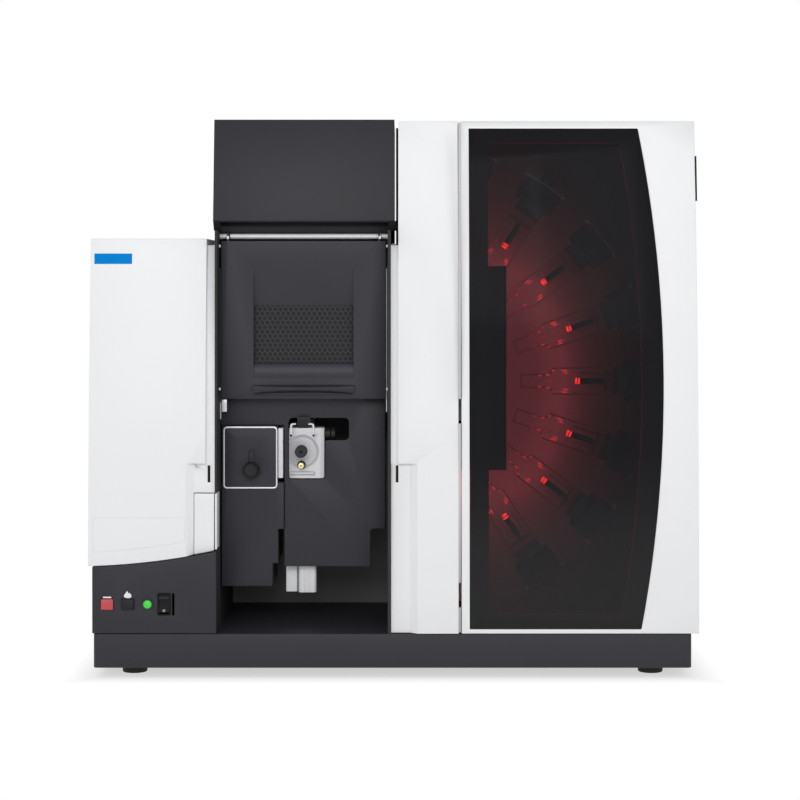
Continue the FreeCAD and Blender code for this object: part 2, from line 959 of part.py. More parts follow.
panel = new_body("control_panel")
add(panel, "XZ_Plane", rectangle(panel_left, cover_low, panel_right, d.sweep_right), panel_front, split)
cut(panel, "XY_Plane",
    rectangle(panel_left + d.skin, panel_front + d.skin, panel_right - d.skin, split + d.skin),
    cover_low, d.sweep_right)
cut(panel, "XZ_Plane", rectangle(panel_right - 2 * d.skin, cover_low, panel_right, d.sweep_right),
    front + d.corner_wrap + d.seam, split)
cut(panel, "XZ_Plane", sweep(-d.seam, d.skin, 0, d.sweep_right + 2 * d.skin), panel_front, split)
for middle in (red_x, black_x):
    cut(panel, "XZ_Plane",
        rectangle(middle - d.button_width / 2, button_low, middle + d.button_width / 2, button_high),
        panel_front, panel_front + d.skin)
cut(panel, "XZ_Plane", [("circle", lens_x, d.button_middle, d.lens_radius)],
    panel_front, panel_front + d.skin)
cut(panel, "XZ_Plane",
    rectangle(rocker_x - d.rocker_width / 2, rocker_low, rocker_x + d.rocker_width / 2, rocker_high),
    panel_front, panel_front + d.skin)
recess_left = rocker_x + d.rocker_width / 2 + d.recess_in
cut(panel, "XZ_Plane", rectangle(recess_left, rocker_low, recess_left + d.recess_width, rocker_high),
    panel_front, panel_front + d.skin)


shoulder = panel_front + d.skin + d.button_shoulder


def push_button(label, middle):
    """A square cap with a stem that runs in the switch behind it."""
    button = new_body(label)
    cap, arcs = round_rectangle(middle - d.button_width / 2 + play, button_low + play,
                                middle + d.button_width / 2 - play, button_high - play, d.button_corner)
    add(button, "XZ_Plane", (cap, arcs), panel_front - d.button_proud, shoulder)
    add(button, "XZ_Plane", [("circle", middle, d.button_middle, d.stem_radius)],
        shoulder, panel_front + d.skin + d.stem_reach)
    return button


push_button("flame_off_button", red_x)
push_button("ignite_button", black_x)

switches = new_body("button_switches")
switch_front = shoulder + d.button_travel + play
board_front = switch_front + d.switch_deep
for middle in (red_x, black_x):
    add(switches, "XZ_Plane",
        rectangle(middle - d.switch_half, d.button_middle - d.switch_half,
                  middle + d.switch_half, d.button_middle + d.switch_half),
        switch_front, board_front)
add(switches, "XZ_Plane",
    rectangle(red_x - d.board_margin, base_top, lens_x + d.board_margin, d.button_middle + d.board_above),
    board_front, board_front + d.board_thick)
for middle in (red_x, black_x):
    cut(switches, "XZ_Plane", [("circle", middle, d.button_middle, d.stem_radius + d.running_gap)],
        switch_front, switch_front + d.switch_bore)

lens = new_body("status_lens")
lens_fit = d.lens_radius - d.running_gap
lens_back = board_front - panel_front
dome = d.lens_dome_height
turned(lens, "YZ_Plane",
       [(-dome, 0), (lens_back, 0), (lens_back, d.lens_stem), (d.skin, d.lens_stem),
        (d.skin, lens_fit), (0, lens_fit)],
       lens_x, (panel_front, d.button_middle), "H_Axis",
       arcs={5: ((lens_fit * lens_fit + dome * dome) / (2 * dome), 1)})

housing = new_body("rocker_housing")
half_across = d.rocker_width / 2 - play
half_up = d.rocker_height / 2 - play
add(housing, "XZ_Plane",
    rectangle(rocker_x - half_across, d.button_middle - half_up,
              rocker_x + half_across, d.button_middle + half_up),
    panel_front - d.housing_rim, panel_front + d.housing_deep)
cut(housing, "XZ_Plane",
    rectangle(rocker_x - half_across + d.housing_wall, d.button_middle - half_up + d.housing_wall,
              rocker_x + half_across - d.housing_wall, d.button_middle + half_up - d.housing_wall),
    panel_front - d.housing_rim, panel_front + d.housing_well)

# Power rocker, drawn about its own pivot

pivot_y = panel_front + d.rocker_pivot
rocker_half = half_across - d.housing_wall - play
cut(housing, "YZ_Plane", [("circle", pivot_y, d.button_middle, d.rocker_pin + d.running_gap)],
    rocker_x - half_across, rocker_x + half_across)

rocker = new_body("power_rocker")
face = half_up - d.rocker_short
low_face = d.rocker_taper - face
sketch = sketch_on(rocker, "YZ_Plane", rocker_x - rocker_half, (pivot_y, d.button_middle), -d.rocker_tilt_angle)
outline(sketch, [(-d.rocker_crest, -face), (d.rocker_below, low_face), (d.rocker_below, -low_face),
                 (-d.rocker_crest, face), (-d.rocker_dip, 0)])
along(rocker, "Pad", sketch, rocker_half * 2, "YZ_Plane")
add(rocker, "YZ_Plane", [("circle", pivot_y, d.button_middle, d.rocker_pin)],
    rocker_x - half_across, rocker_x + half_across)

badge = new_body("badge_plate")
add(badge, "YZ_Plane", bulge_skin(badge_low, badge_high, -d.badge_thick, d.badge_thick),
    left + d.badge_in, left + d.badge_in + d.badge_width)


# Compartment walls with their beam holes

wall_top = hood_bottom - d.fit_gap
wall_end = front + d.back_wall_depth
wall_front = front + d.left_wall_in
low_front = front + d.corner_wrap + d.seam * 2
beam_hole = [("circle", beam_y, d.beam_height, d.beam_hole)]
rod_hole = [("circle", rod_y, rod_height, d.rod_radius + d.running_gap)]

left_wall = new_body("left_wall")
add(left_wall, "YZ_Plane",
    [(low_front, base_top), (wall_end, base_top), (wall_end, wall_top), (wall_front, wall_top),
     (wall_front, d.corner_height + d.seam * 2), (low_front, d.corner_height + d.seam * 2)],
    strip_right, wall_left)
cut(left_wall, "YZ_Plane", beam_hole, strip_right, wall_left)
cut(left_wall, "YZ_Plane", rod_hole, strip_right, wall_left)
cut(left_cover, "YZ_Plane", beam_hole, strip_right - d.skin, strip_right)

right_wall = new_body("right_wall")
add(right_wall, "YZ_Plane", rectangle(front + d.right_wall_in, base_top, wall_end, wall_top),
    wall_right, wall_outer)
cut(right_wall, "YZ_Plane", beam_hole, wall_right, wall_outer)
cut(right_wall, "YZ_Plane", rod_hole, wall_right, wall_outer)

back_wall = new_body("back_wall")
add(back_wall, "XZ_Plane", rectangle(strip_right, base_top, wall_outer, wall_top), wall_end, split)
rail_front = wall_end - d.lift_rail_deep
add(back_wall, "XZ_Plane",
    rectangle(burner_x - d.lift_rail_half, boss_height - d.lift_rail_below,
              burner_x + d.lift_rail_half, boss_height + d.lift_rail_above),
    rail_front, wall_end)

beam_windows = new_body("beam_windows")
window_disc = [("circle", beam_y, d.beam_height, d.beam_hole - d.window_slack)]
add(beam_windows, "YZ_Plane", window_disc, strip_right, wall_left)
add(beam_windows, "YZ_Plane", window_disc, wall_right, wall_outer)


# Rear cover and rear panel

def slots(body, plane, first, start, end, count, pitch, axis="V_Axis"):
    """Cuts a row of equal slots; first is the outline of the first one."""
    sketch = sketch_on(body, plane, start)
    outline(sketch, first)
    pocket = along(body, "Pocket", sketch, as_size(end) - start, plane)
    pattern = body.newObject("PartDesign::LinearPattern", "LinearPattern")
    pattern.Originals = [pocket]
    pattern.Direction = (sketch, [axis])
    bind(pattern, "Length", pitch * (count - 1))
    pattern.Occurrences = int(count.number)
    body.Tip = pattern
    return pattern


rear_left = left + d.rear_in
rear_right = column_left - d.seam
rear_front = split + d.seam

rear_cover = new_body("rear_cover")
add(rear_cover, "XZ_Plane", rectangle(rear_left, cover_low, rear_right, rear_height), rear_front, rear)
cut(rear_cover, "XZ_Plane",
    rectangle(rear_left + d.skin, cover_low, rear_right - d.skin, rear_height - d.skin), rear_front, rear)
rounded_edges(rear_cover, d.top_edge_radius,
              lambda spot: near(spot.z, rear_height) and (near(spot.x, rear_left) or near(spot.x, rear_right)))

rear_panel = new_body("rear_panel")
add(rear_panel, "XZ_Plane",
    rectangle(rear_left + d.skin, base_top, rear_right - d.skin, rear_height - d.skin),
    rear - d.skin, rear)
vent_low = rear_height - d.vent_drop
for vent_left in (rear_left + d.vent_in, rear_right - d.vent_in - d.vent_width):
    slots(rear_panel, "XZ_Plane",
          rectangle(vent_left, vent_low, vent_left + d.vent_width, vent_low + d.vent_tall),
          rear - d.skin, rear, d.vent_count, d.vent_pitch)
inlet_left = rear_right - d.inlet_in - d.inlet_half
inlet_right = inlet_left + 2 * d.inlet_half
inlet_low = d.inlet_middle - d.inlet_tall / 2
inlet_high = inlet_low + d.inlet_tall
cut(rear_panel, "XZ_Plane", rectangle(inlet_left, inlet_low, inlet_right, inlet_high), rear - d.skin, rear)


# Tower that holds the lamps

tower_front = door_back + d.seam
tower_cover = new_body("tower_cover")
add(tower_cover, "XZ_Plane", rectangle(column_left, cover_low, right, tower_height), tower_front, rear)
cut(tower_cover, "XZ_Plane",
    rectangle(column_left + d.skin, cover_low, right - d.skin, tower_height - d.skin),
    tower_front, rear - d.skin)
cut(tower_cover, "YZ_Plane", beam_hole, column_left, column_left + d.skin)
tower_vent_low = tower_height - d.tower_vent_drop
tower_vent_right = right - d.tower_vent_in
slots(tower_cover, "XZ_Plane",
      rectangle(tower_vent_right - d.tower_vent_width, tower_vent_low,
                tower_vent_right, tower_vent_low + d.vent_tall),
      rear - d.skin, rear, d.tower_vent_count, d.vent_pitch)
rounded_edges(tower_cover, d.top_edge_radius,
              lambda spot: near(spot.z, tower_height) and (near(spot.x, column_left) or near(spot.x, right)))

# the column keeps a thin lip at its right edge so that the door's corner can swing past it
cut(centre_cover, "YZ_Plane", bulge(cover_low - d.skin, tower_height + d.skin, door_back + d.skin, d.skin),
    column_right - d.skin, column_right)
return_back = front + d.return_deep
add(centre_cover, "YZ_Plane", bulge(cover_low, tower_height - d.skin, return_back, d.skin / 2),
    column_right - 2 * d.skin, column_right - d.skin)


# Lamp door

door = new_body("door_frame")
body_left = door_left + d.lip
add(door, "YZ_Plane", bulge(cover_low, tower_height, door_back), body_left, right)
add(door, "YZ_Plane", bulge_skin(cover_low, tower_height, 0, d.skin), door_left, body_left)
cut(door, "YZ_Plane", bulge(cover_low + d.skin, tower_height - d.skin, door_back + d.skin, d.skin),
    body_left + d.skin, right - d.skin)
window = ([(window_left, window_low), (window_right, window_low),
           (window_right, window_high), (window_left, window_high)], {1: (d.window_radius, 1)})
cut(door, "XZ_Plane", window, front - d.skin, door_back - d.seam)
grip_top = grip_bottom + d.door_grip_length
grip_back = door_back - d.door_grip_in
grip_front = grip_back - d.door_grip_width
grip_side = rectangle(grip_front, grip_bottom, grip_back, grip_top)
cut(door, "YZ_Plane", grip_side, right - d.skin, right)

grip = new_body("door_grip")
add(grip, "YZ_Plane", grip_side, right - d.skin - d.door_grip_box, right + d.grip_proud)
cut(grip, "YZ_Plane",
    rectangle(grip_front + d.door_grip_front, grip_bottom + d.door_grip_end,
              grip_back - d.door_grip_back, grip_top - d.door_grip_end),
    right - d.door_grip_deep, right + d.grip_proud)

pane = new_body("door_window")
pane_low, pane_high = window_low + play, window_high - play
pane_right = window_right - play
add(pane, "YZ_Plane", bulge_skin(pane_low, pane_high, d.pane_in, d.pane), window_left + play, right)
cut(pane, "XZ_Plane",
    ([(right, pane_low), (right, pane_high), (pane_right, pane_high), (pane_right, pane_low)],
     {2: (d.window_radius, -1)}),
    front - d.skin, door_back)


# Door hinge: goose-neck arms that turn on pins carried by a post behind the column

hinge_y = front + d.hinge_depth
arm_lows = (d.arm_low, d.arm_high)
neck_front = hinge_y + d.neck_reach

arms = new_body("hinge_arms")
pins = new_body("hinge_pins")
post = new_body("hinge_post")
post_left = hinge_x - d.post_in
post_web = post_left + d.skin
post_front = hinge_y - d.post_front
post_back = tower_front + d.post_lap
add(post, "XY_Plane",
    [(post_left, post_front), (post_left + d.post_lip, post_front),
     (post_left + d.post_lip, post_front + d.skin), (post_web, post_front + d.skin),
     (post_web, post_back), (post_left, post_back)],
    base_top, d.arm_high + d.arm_height + d.lug + d.post_above)
for low in arm_lows:
    high = low + d.arm_height
    add(arms, "XY_Plane",
        [(hinge_x - d.arm_thick, hinge_y), (hinge_x + d.arm_thick, hinge_y),
         (hinge_x + d.arm_thick, neck_front), (body_left, neck_front),
         (body_left, neck_front + d.arm_thick), (hinge_x - d.arm_thick, neck_front + d.arm_thick)],
        low, high)
    add(arms, "XY_Plane", [("circle", hinge_x, hinge_y, 2 * d.pin_radius - d.seam)], low, high)
    cut(arms, "XY_Plane", [("circle", hinge_x, hinge_y, d.pin_radius + d.running_gap)], low, high)
    lug_low, lug_high = low - play - d.lug, high + play
    for start in (lug_low, lug_high):
        add(post, "XY_Plane",
            rectangle(post_web, hinge_y - d.lug_half, hinge_x + d.lug_half, hinge_y + d.lug_half),
            start, start + d.lug)
        cut(post, "XY_Plane", [("circle", hinge_x, hinge_y, d.pin_radius + d.press_gap)],
            start, start + d.lug)
    add(pins, "XY_Plane", [("circle", hinge_x, hinge_y, d.pin_radius)], lug_low, lug_high + d.lug)
    cut(centre_cover, "YZ_Plane",
        rectangle(front_at(high) + d.skin + d.seam / 2, lug_low - d.lug_clear,
                  return_back, lug_high + d.lug + d.lug_clear),
        column_right - 2 * d.skin, column_right - d.skin)


# Lamp fan: eight hollow-cathode lamps round the selector mirror

fan_y = front + d.fan_depth
plate_y = front + d.plate_depth


def lamp_sketch(body, at=fan_y):
    return sketch_on(body, "XZ_Plane", at, (fan_x, d.beam_height), -d.lamp_first_angle)


def lamp_turned(body, corners):
    sketch = lamp_sketch(body)
    outline(sketch, corners)
    feature = body.newObject("PartDesign::Revolution", "Revolution")
    feature.Profile = sketch
    feature.ReferenceAxis = (sketch, ["H_Axis"])
    feature.Angle = 360
    return sketch, feature


def round_the_fan(body, sketch, features):
    """Repeats the first lamp's features about the middle of the fan."""
    pattern = body.newObject("PartDesign::PolarPattern", "PolarPattern")
    pattern.Originals = features
    pattern.Axis = (sketch, ["N_Axis"])
    bind(pattern, "Angle", d.lamp_step_angle * (d.lamp_count - 1))
    pattern.Occurrences = int(d.lamp_count.number)
    body.Tip = pattern


holders = new_body("lamp_holders")
sketch = lamp_sketch(holders, fan_y - d.holder_half)
draw(sketch, round_rectangle(d.lamp_base_end, -d.holder_half, d.lamp_cap_end, d.holder_half, d.holder_corner))
block = along(holders, "Pad", sketch, d.holder_half * 2, "XZ_Plane")
plug_start = d.lamp_cap_end - d.sunk
_, plug = lamp_turned(holders, [(plug_start, 0), (d.lamp_plug_end, 0),
                                (d.lamp_plug_end, d.plug_radius - d.plug_taper), (plug_start, d.plug_radius)])
foot_start = fan_y + d.holder_half - d.sunk
foot_sketch = lamp_sketch(holders, foot_start)
outline(foot_sketch, rectangle(d.lamp_base_end + d.foot_margin, -d.foot_half,
                               d.lamp_cap_end - d.foot_margin, d.foot_half))
foot = along(holders, "Pad", foot_sketch, plate_y - foot_start, "XZ_Plane")
round_the_fan(holders, sketch, [block, plug, foot])

bases = new_body("lamp_bases")
base_radius = d.lamp_radius - d.base_in
sketch, base = lamp_turned(bases, [(d.lamp_end, 0), (d.lamp_base_end, 0),
                                   (d.lamp_base_end, base_radius), (d.lamp_end, base_radius)])
round_the_fan(bases, sketch, [base])

envelopes = new_body("lamp_envelopes")
inner_snout = d.snout_radius - d.glass
inner_body = d.lamp_radius - d.glass
sketch, tube = lamp_turned(envelopes, [
    (d.lamp_tip, 0), (d.lamp_tip + d.glass, 0), (d.lamp_tip + d.glass, inner_snout),
    (d.lamp_shoulder + d.shoulder_in, inner_snout), (d.lamp_body + d.shoulder_in, inner_body),
    (d.lamp_end, inner_body),
    (d.lamp_end, d.lamp_radius), (d.lamp_body, d.lamp_radius), (d.lamp_shoulder, d.snout_radius),
    (d.lamp_tip, d.snout_radius)])
round_the_fan(envelopes, sketch, [tube])

electrodes = new_body("lamp_electrodes")
sketch, cathode = lamp_turned(electrodes, [
    (d.cathode_start, 0), (d.lamp_end, 0), (d.lamp_end, d.cathode_stem), (d.cathode_end, d.cathode_stem),
    (d.cathode_end, d.cathode_radius), (d.cathode_start, d.cathode_radius)])
anode_sketch = lamp_sketch(electrodes, fan_y - d.anode_half)
outline(anode_sketch, rectangle(d.cathode_start - d.anode_lead, d.anode_offset - d.anode_half,
                                d.lamp_end, d.anode_offset + d.anode_half))
anode = along(electrodes, "Pad", anode_sketch, 2 * d.anode_half, "XZ_Plane")
round_the_fan(electrodes, sketch, [cathode, anode])

lamp_plate = new_body("lamp_plate")
plate_margin = d.skin + d.sheet_gap
add(lamp_plate, "XZ_Plane",
    rectangle(column_left + plate_margin, base_top, right - plate_margin, tower_height - plate_margin),
    plate_y, plate_y + d.skin)
cut(lamp_plate, "XZ_Plane", [("circle", fan_x, d.beam_height, d.beam_hole)], plate_y, plate_y + d.skin)


# Selector mirror, its motor and shroud, and the fold mirror behind the plate

shroud_y = door_back + d.shroud_in
shroud_low = d.beam_height - d.shroud_below
shroud_high = d.beam_height + d.shroud_above
shroud_left = column_left + d.shroud_left_in
shroud_right = fan_x + d.shroud_reach

shroud = new_body("mirror_shroud")
add(shroud, "XZ_Plane", rectangle(shroud_left, shroud_low, shroud_right, shroud_high),
    shroud_y, shroud_y + d.skin)
spacers = [("circle", x, z, d.spacer_radius) for x in (shroud_left + d.spacer_in, fan_x + d.spacer_reach)
           for z in (shroud_low + d.spacer_in, shroud_high - d.spacer_in)]
add(shroud, "XZ_Plane", spacers, shroud_y + d.skin, plate_y)
cut(shroud, "XZ_Plane", [("circle", fan_x, d.beam_height, d.mirror_shaft + d.shaft_clear)],
    shroud_y, shroud_y + d.skin)

motor = new_body("mirror_motor")
add(motor, "XZ_Plane",
    rectangle(fan_x - d.motor_half, d.beam_height - d.motor_half,
              fan_x + d.motor_half, d.beam_height + d.motor_half),
    shroud_y - d.motor_deep, shroud_y)
cut(motor, "XZ_Plane", [("circle", fan_x, d.beam_height, d.mirror_shaft + d.running_gap)],
    shroud_y - d.motor_bore, shroud_y)

mirror = new_body("selector_mirror")
add(mirror, "XZ_Plane", [("circle", fan_x, d.beam_height, d.mirror_shaft)],
    shroud_y - d.motor_bore + play, fan_y - d.hub_radius)
add(mirror, "XZ_Plane", [("circle", fan_x, d.beam_height, d.hub_radius)],
    fan_y - d.hub_front, fan_y + d.hub_back)
mirror_half = d.hub_radius + d.mirror_margin
cut(mirror, "XY_Plane",
    [(fan_x - mirror_half, fan_y + mirror_half), (fan_x + mirror_half, fan_y - mirror_half),
     (fan_x + mirror_half, fan_y + mirror_half)],
    d.beam_height - mirror_half, d.beam_height + mirror_half)

fold = new_body("fold_mirror")
fold_right = fan_x + d.fold_half
fold_edge = fold_right + d.fold_thick
add(fold, "XY_Plane",
    [(fold_right, plate_y + d.skin), (fold_edge, plate_y + d.skin), (fold_edge, beam_y + d.fold_half),
     (fan_x - d.fold_half, beam_y + d.fold_half), (fold_right, beam_y - d.fold_half)],
    d.beam_height - d.fold_half, d.beam_height + d.fold_half)


# Hood with its baffle

hood_left = strip_right - d.hood_lap
hood_right = column_left - d.hood_right_gap
lip_y = front + d.hood_lip_depth
hood_top_y = lip_y + d.hood_lean
hood_back = split + d.hood_back_lap
lean = d.hood_lean / (hood_height - hood_lip_height)
rear_low = rear_height + play
inner_low = hood_bottom - d.hood_lip_depth

hood = new_body("hood")
add(hood, "YZ_Plane",
    [(lip_y + d.hood_rim, hood_bottom), (hood_back - d.hood_skin, hood_bottom),
     (hood_back - d.hood_skin, rear_low), (hood_back, rear_low), (hood_back, hood_height),
     (hood_top_y, hood_height), (lip_y, hood_lip_height)],
    hood_left, hood_right)
cut(hood, "YZ_Plane",
    [(lip_y + d.hood_skin - lean * (hood_lip_height - inner_low), inner_low),
     (hood_back - d.hood_skin, inner_low), (hood_back - d.hood_skin, hood_height - d.hood_skin),
     (hood_top_y + d.hood_skin - lean * d.hood_skin, hood_height - d.hood_skin)],
    hood_left + d.hood_cheek, hood_right - d.hood_cheek)
baffle_y = rod_y + d.rod_radius + d.baffle_gap
add(hood, "YZ_Plane", rectangle(baffle_y, hood_bottom, baffle_y + d.hood_skin, hood_height - d.baffle_headroom),
    hood_left + d.hood_cheek, hood_right - d.hood_cheek)
add(hood, "YZ_Plane", rectangle(baffle_y, baffle_bottom, baffle_y + d.hood_skin, hood_bottom),
    wall_left + play, wall_right - play)
vent_front = hood_top_y + d.hood_vent_front
slots(hood, "XY_Plane",
      rectangle(hood_left + d.hood_vent_in, vent_front,
                hood_right - d.hood_vent_in, vent_front + d.hood_vent_width),
      hood_height - d.hood_skin, hood_height, d.hood_vent_count, d.hood_vent_pitch)


# Flame shield that swings on the rod

mid_x = (wall_left + wall_right) / 2
shield_left = wall_left + d.shield_side_gap
shield_right = wall_right - d.shield_side_gap
shield_back = shield_y + d.shield_skin
flange_back = shield_back + d.flange_depth

rod = new_body("shield_rod")
add(rod, "YZ_Plane", [("circle", rod_y, rod_height, d.rod_radius)], strip_right, wall_outer)

shield = new_body("flame_shield")
add(shield, "XZ_Plane", rectangle(shield_left, shield_bottom, shield_right, shield_top),
    shield_y, shield_back)
for side in (shield_left, shield_right - d.shield_skin):
    add(shield, "YZ_Plane", rectangle(shield_back, shield_bottom, flange_back, shield_top - d.flange_drop),
        side, side + d.shield_skin)
scoop_left = mid_x - d.scoop_width / 2
scoop_right = mid_x + d.scoop_width / 2
scoop_back = shield_y + d.scoop_deep
add(shield, "YZ_Plane",
    ([(shield_back, scoop_bottom - d.scoop_lap), (scoop_back + d.shield_skin, mesh_bottom),
      (scoop_back + d.shield_skin, mesh_top), (shield_back, scoop_top)], {0: (d.hollow_radius, 1)}),
    scoop_left - d.shield_skin, scoop_right + d.shield_skin)
cut(shield, "YZ_Plane",
    ([(shield_y, scoop_bottom), (scoop_back, mesh_bottom), (scoop_back, mesh_top),
      (shield_y, scoop_top)], {0: (d.hollow_radius, 1)}),
    scoop_left, scoop_right)
cut(shield, "XZ_Plane",
    rectangle(scoop_left + d.mesh_rim, mesh_bottom + d.mesh_rim,
              scoop_right - d.mesh_rim, mesh_top - d.mesh_rim),
    scoop_back, scoop_back + d.shield_skin)
grip_half = d.grip_width / 2
add(shield, "XY_Plane",
    ([(mid_x - grip_half, shield_y), (mid_x + grip_half, shield_y)],
     {0: ((grip_half * grip_half + d.grip_reach * d.grip_reach) / (2 * d.grip_reach), 1)}),
    grip_low, grip_high)
for lug_left in (shield_left + d.lug_in, shield_right - d.lug_in - d.shield_skin):
    lug_right = lug_left + d.shield_skin
    add(shield, "YZ_Plane", rectangle(shield_y, shield_top - d.lug_foot, rod_y, rod_height),
        lug_left, lug_right)
    add(shield, "YZ_Plane", [("circle", rod_y, rod_height, d.rod_radius + d.lug_wall)], lug_left, lug_right)
    cut(shield, "YZ_Plane", rod_hole, lug_left, lug_right)


def honeycomb():
    """A thin plate pierced by rows of hexagons, staggered row by row."""
    half_x, half_z = (d.scoop_width / 2 - play).number, ((mesh_top - mesh_bottom) / 2 - play).number
    thick, pitch = d.mesh_thick.number, d.mesh_pitch.number
    reach = (pitch - d.mesh_web.number) / math.sqrt(3)
    margin = (d.mesh_web + d.mesh_rim).number
    centre = V(mid_x.number, scoop_back.number - thick, ((mesh_top + mesh_bottom) / 2).number)
    wires = [Part.makePolygon([centre + V(x, 0, z) for x, z in
                               ((-half_x, -half_z), (half_x, -half_z), (half_x, half_z), (-half_x, half_z),
                                (-half_x, -half_z))])]
    rise = pitch * math.sqrt(3) / 2
    rows = int((half_z - margin - reach) / rise)
    for row in range(-rows, rows + 1):
        shift = pitch / 2 if row % 2 else 0
        columns = int((half_x - margin - pitch / 2 - shift) / pitch)
        for column in range(-columns - (1 if shift else 0), columns + 1):
            middle = centre + V(column * pitch + shift, 0, row * rise)
            angles = [math.radians(60 * n + 30) for n in range(7)]
            wires.append(Part.makePolygon([middle + V(reach * math.cos(a), 0, reach * math.sin(a))
                                           for a in angles]))
    return Part.makeFace(wires, "Part::FaceMakerBullseye").extrude(V(0, thick, 0))


mesh = doc.addObject("Part::Feature", "shield_mesh")
mesh.Label = "shield_mesh"
mesh.Shape = honeycomb()
pieces.append(mesh)

stop_pins = new_body("stop_pins")
for height in (rod_height - d.stop_in, shield_bottom + d.stop_in):
    spot = [("circle", shield_y - d.stop_radius, height, d.stop_radius)]
    add(stop_pins, "YZ_Plane", spot, wall_left, wall_left + d.stop_reach)
    add(stop_pins, "YZ_Plane", spot, wall_right - d.stop_reach, wall_right)

rails = new_body("shield_rails")
rail_front_y = shield_back + d.rail_gap
rail_back_y = flange_back - d.rail_back_gap
rail_side = rectangle(rail_front_y, rail_low, rail_back_y, rail_high)
add(rails, "YZ_Plane", rail_side, wall_left, shield_left - d.rail_left_gap)
add(rails, "YZ_Plane", rectangle(rail_front_y, rail_low, rail_back_y, shield_bottom - d.rail_foot_gap),
    wall_left, wall_left + d.rail_foot)
add(rails, "YZ_Plane", rail_side, shield_right + play, wall_right)


# Burner panel and gas cover

burner_left = wall_left + d.burner_left_in
burner_right = wall_right - d.burner_right_gap
panel_back = panel_y + d.panel_skin

burner_panel = new_body("burner_panel")
step_x = burner_right - d.burner_step_in
add(burner_panel, "XZ_Plane",
    softened([(burner_left, d.burner_low), (step_x, d.burner_low), (step_x, d.burner_step_height),
              (burner_right, d.burner_step_height), (burner_right, band_high), (wall_left + play, band_high),
              (wall_left + play, band_low), (burner_left, band_low)], {2: d.burner_step_corner}),
    panel_y, panel_back)
cut_left = wall_left + d.cut_left_in
cut_right = cut_left + d.cut_width
cut(burner_panel, "XZ_Plane",
    softened([(cut_left, cut_low), (cut_right, cut_low), (cut_right, cut_side_low),
              (cut_left + d.cut_side_reach, cut_side_low), (cut_left + d.cut_side_reach, cut_high),
              (cut_left, cut_high)],
             {0: d.cut_low_corner, 1: d.cut_low_corner, 2: d.cut_side_corner,
              3: d.cut_high_corner, 4: d.cut_high_corner, 5: d.cut_high_corner}),
    panel_y, panel_back)
tab_back = panel_back + d.tab_reach
tab_top = band_high - d.tab_drop
add(burner_panel, "XY_Plane",
    [(burner_right - d.panel_skin, panel_back), (burner_right, panel_back), (burner_right, tab_back),
     (wall_right - play, tab_back), (wall_right - play, tab_back + d.panel_skin),
     (burner_right - d.panel_skin, tab_back + d.panel_skin)],
    tab_top - d.tab_tall, tab_top)
add(burner_panel, "XY_Plane", rectangle(burner_left, panel_back, step_x, tab_back),
    d.burner_low, d.burner_low + d.sill)

gas_left = wall_left + d.gas_left_gap
gas_right = gas_left + d.gas_width
gas_back = gas_y + d.gas_back


def gas_outline(inset):
    """Stepped front outline of the gas cover, drawn in by the inset."""
    edge = gas_right - inset
    foot = d.gas_low + inset
    foot_top = foot + d.gas_foot_tall
    step = d.burner_step_height + inset
    notch = chamber_low - d.gas_notch_below - inset
    top = band_low - d.gas_top_gap - inset
    return [(gas_left + inset, foot), (edge - d.gas_foot_in, foot), (edge - d.gas_foot_in, foot_top),
            (edge - d.gas_step_in, foot_top), (edge - d.gas_step_in, step), (edge, step),
            (edge, notch), (edge - d.gas_notch_in, notch), (edge - d.gas_notch_in, top),
            (gas_left + inset, top)]


adjuster_x = wall_left + d.adjuster_in
slot_half = d.adjuster_slot / 2
slot_shape = round_rectangle(adjuster_x - slot_half, adjuster_height - slot_half,
                             adjuster_x + slot_half, adjuster_height + d.adjuster_travel + slot_half,
                             slot_half - d.slot_flat)
frame_left = wall_left + d.frame_left_in
frame_right = frame_left + d.frame_width
line = d.frame_line
plate_front = gas_y - d.plate_raise
plate_shape = round_rectangle(frame_left + line, frame_low + line, frame_right - line, frame_high - line,
                              d.plate_corner)

gas_cover = new_body("gas_cover")
add(gas_cover, "XZ_Plane", gas_outline(0), gas_y, gas_back)
add(gas_cover, "XZ_Plane", plate_shape, plate_front, gas_y)
gas_inner = gas_y + d.gas_skin
cut(gas_cover, "XZ_Plane", gas_outline(d.gas_skin), gas_inner, gas_back)
cut(gas_cover, "XZ_Plane", slot_shape, plate_front, gas_inner)
tab_end = gas_back - d.gas_tab_in
for low in (d.gas_low + d.gas_tab_rise, band_low - d.gas_tab_drop):
    add(gas_cover, "XZ_Plane", rectangle(wall_left + play, low, gas_left, low + d.gas_tab),
        tab_end - d.gas_tab, tab_end)
slider_front = gas_inner + play
slider_back = slider_front + d.slider_deep
guide_inner = d.slider_half + play
guide_outer = guide_inner + d.skin
lip_front = slider_back + play
lip_back = lip_front + d.guide_lip
for way in (-1, 1):
    add(gas_cover, "XY_Plane",
        [(adjuster_x + way * guide_inner, gas_inner), (adjuster_x + way * guide_outer, gas_inner),
         (adjuster_x + way * guide_outer, lip_back), (adjuster_x + way * d.guide_open, lip_back),
         (adjuster_x + way * d.guide_open, lip_front), (adjuster_x + way * guide_inner, lip_front)],
        adjuster_height - d.guide_margin, adjuster_height + d.adjuster_travel + d.guide_margin)

frame = new_body("adjuster_frame")
frame_front = gas_y - d.frame_raise
add(frame, "XZ_Plane", round_rectangle(frame_left, frame_low, frame_right, frame_high, d.frame_corner),
    frame_front, gas_y)
cut(frame, "XZ_Plane", plate_shape, frame_front, gas_y)

slider = new_body("adjuster_slider")
add(slider, "XZ_Plane",
    rectangle(adjuster_x - d.slider_half, adjuster_height - d.slider_half,
              adjuster_x + d.slider_half, adjuster_height + d.slider_half), slider_front, slider_back)
cut(slider, "XZ_Plane", [("circle", adjuster_x, adjuster_height, d.adjuster_shaft + d.running_gap)],
    slider_front, slider_back)

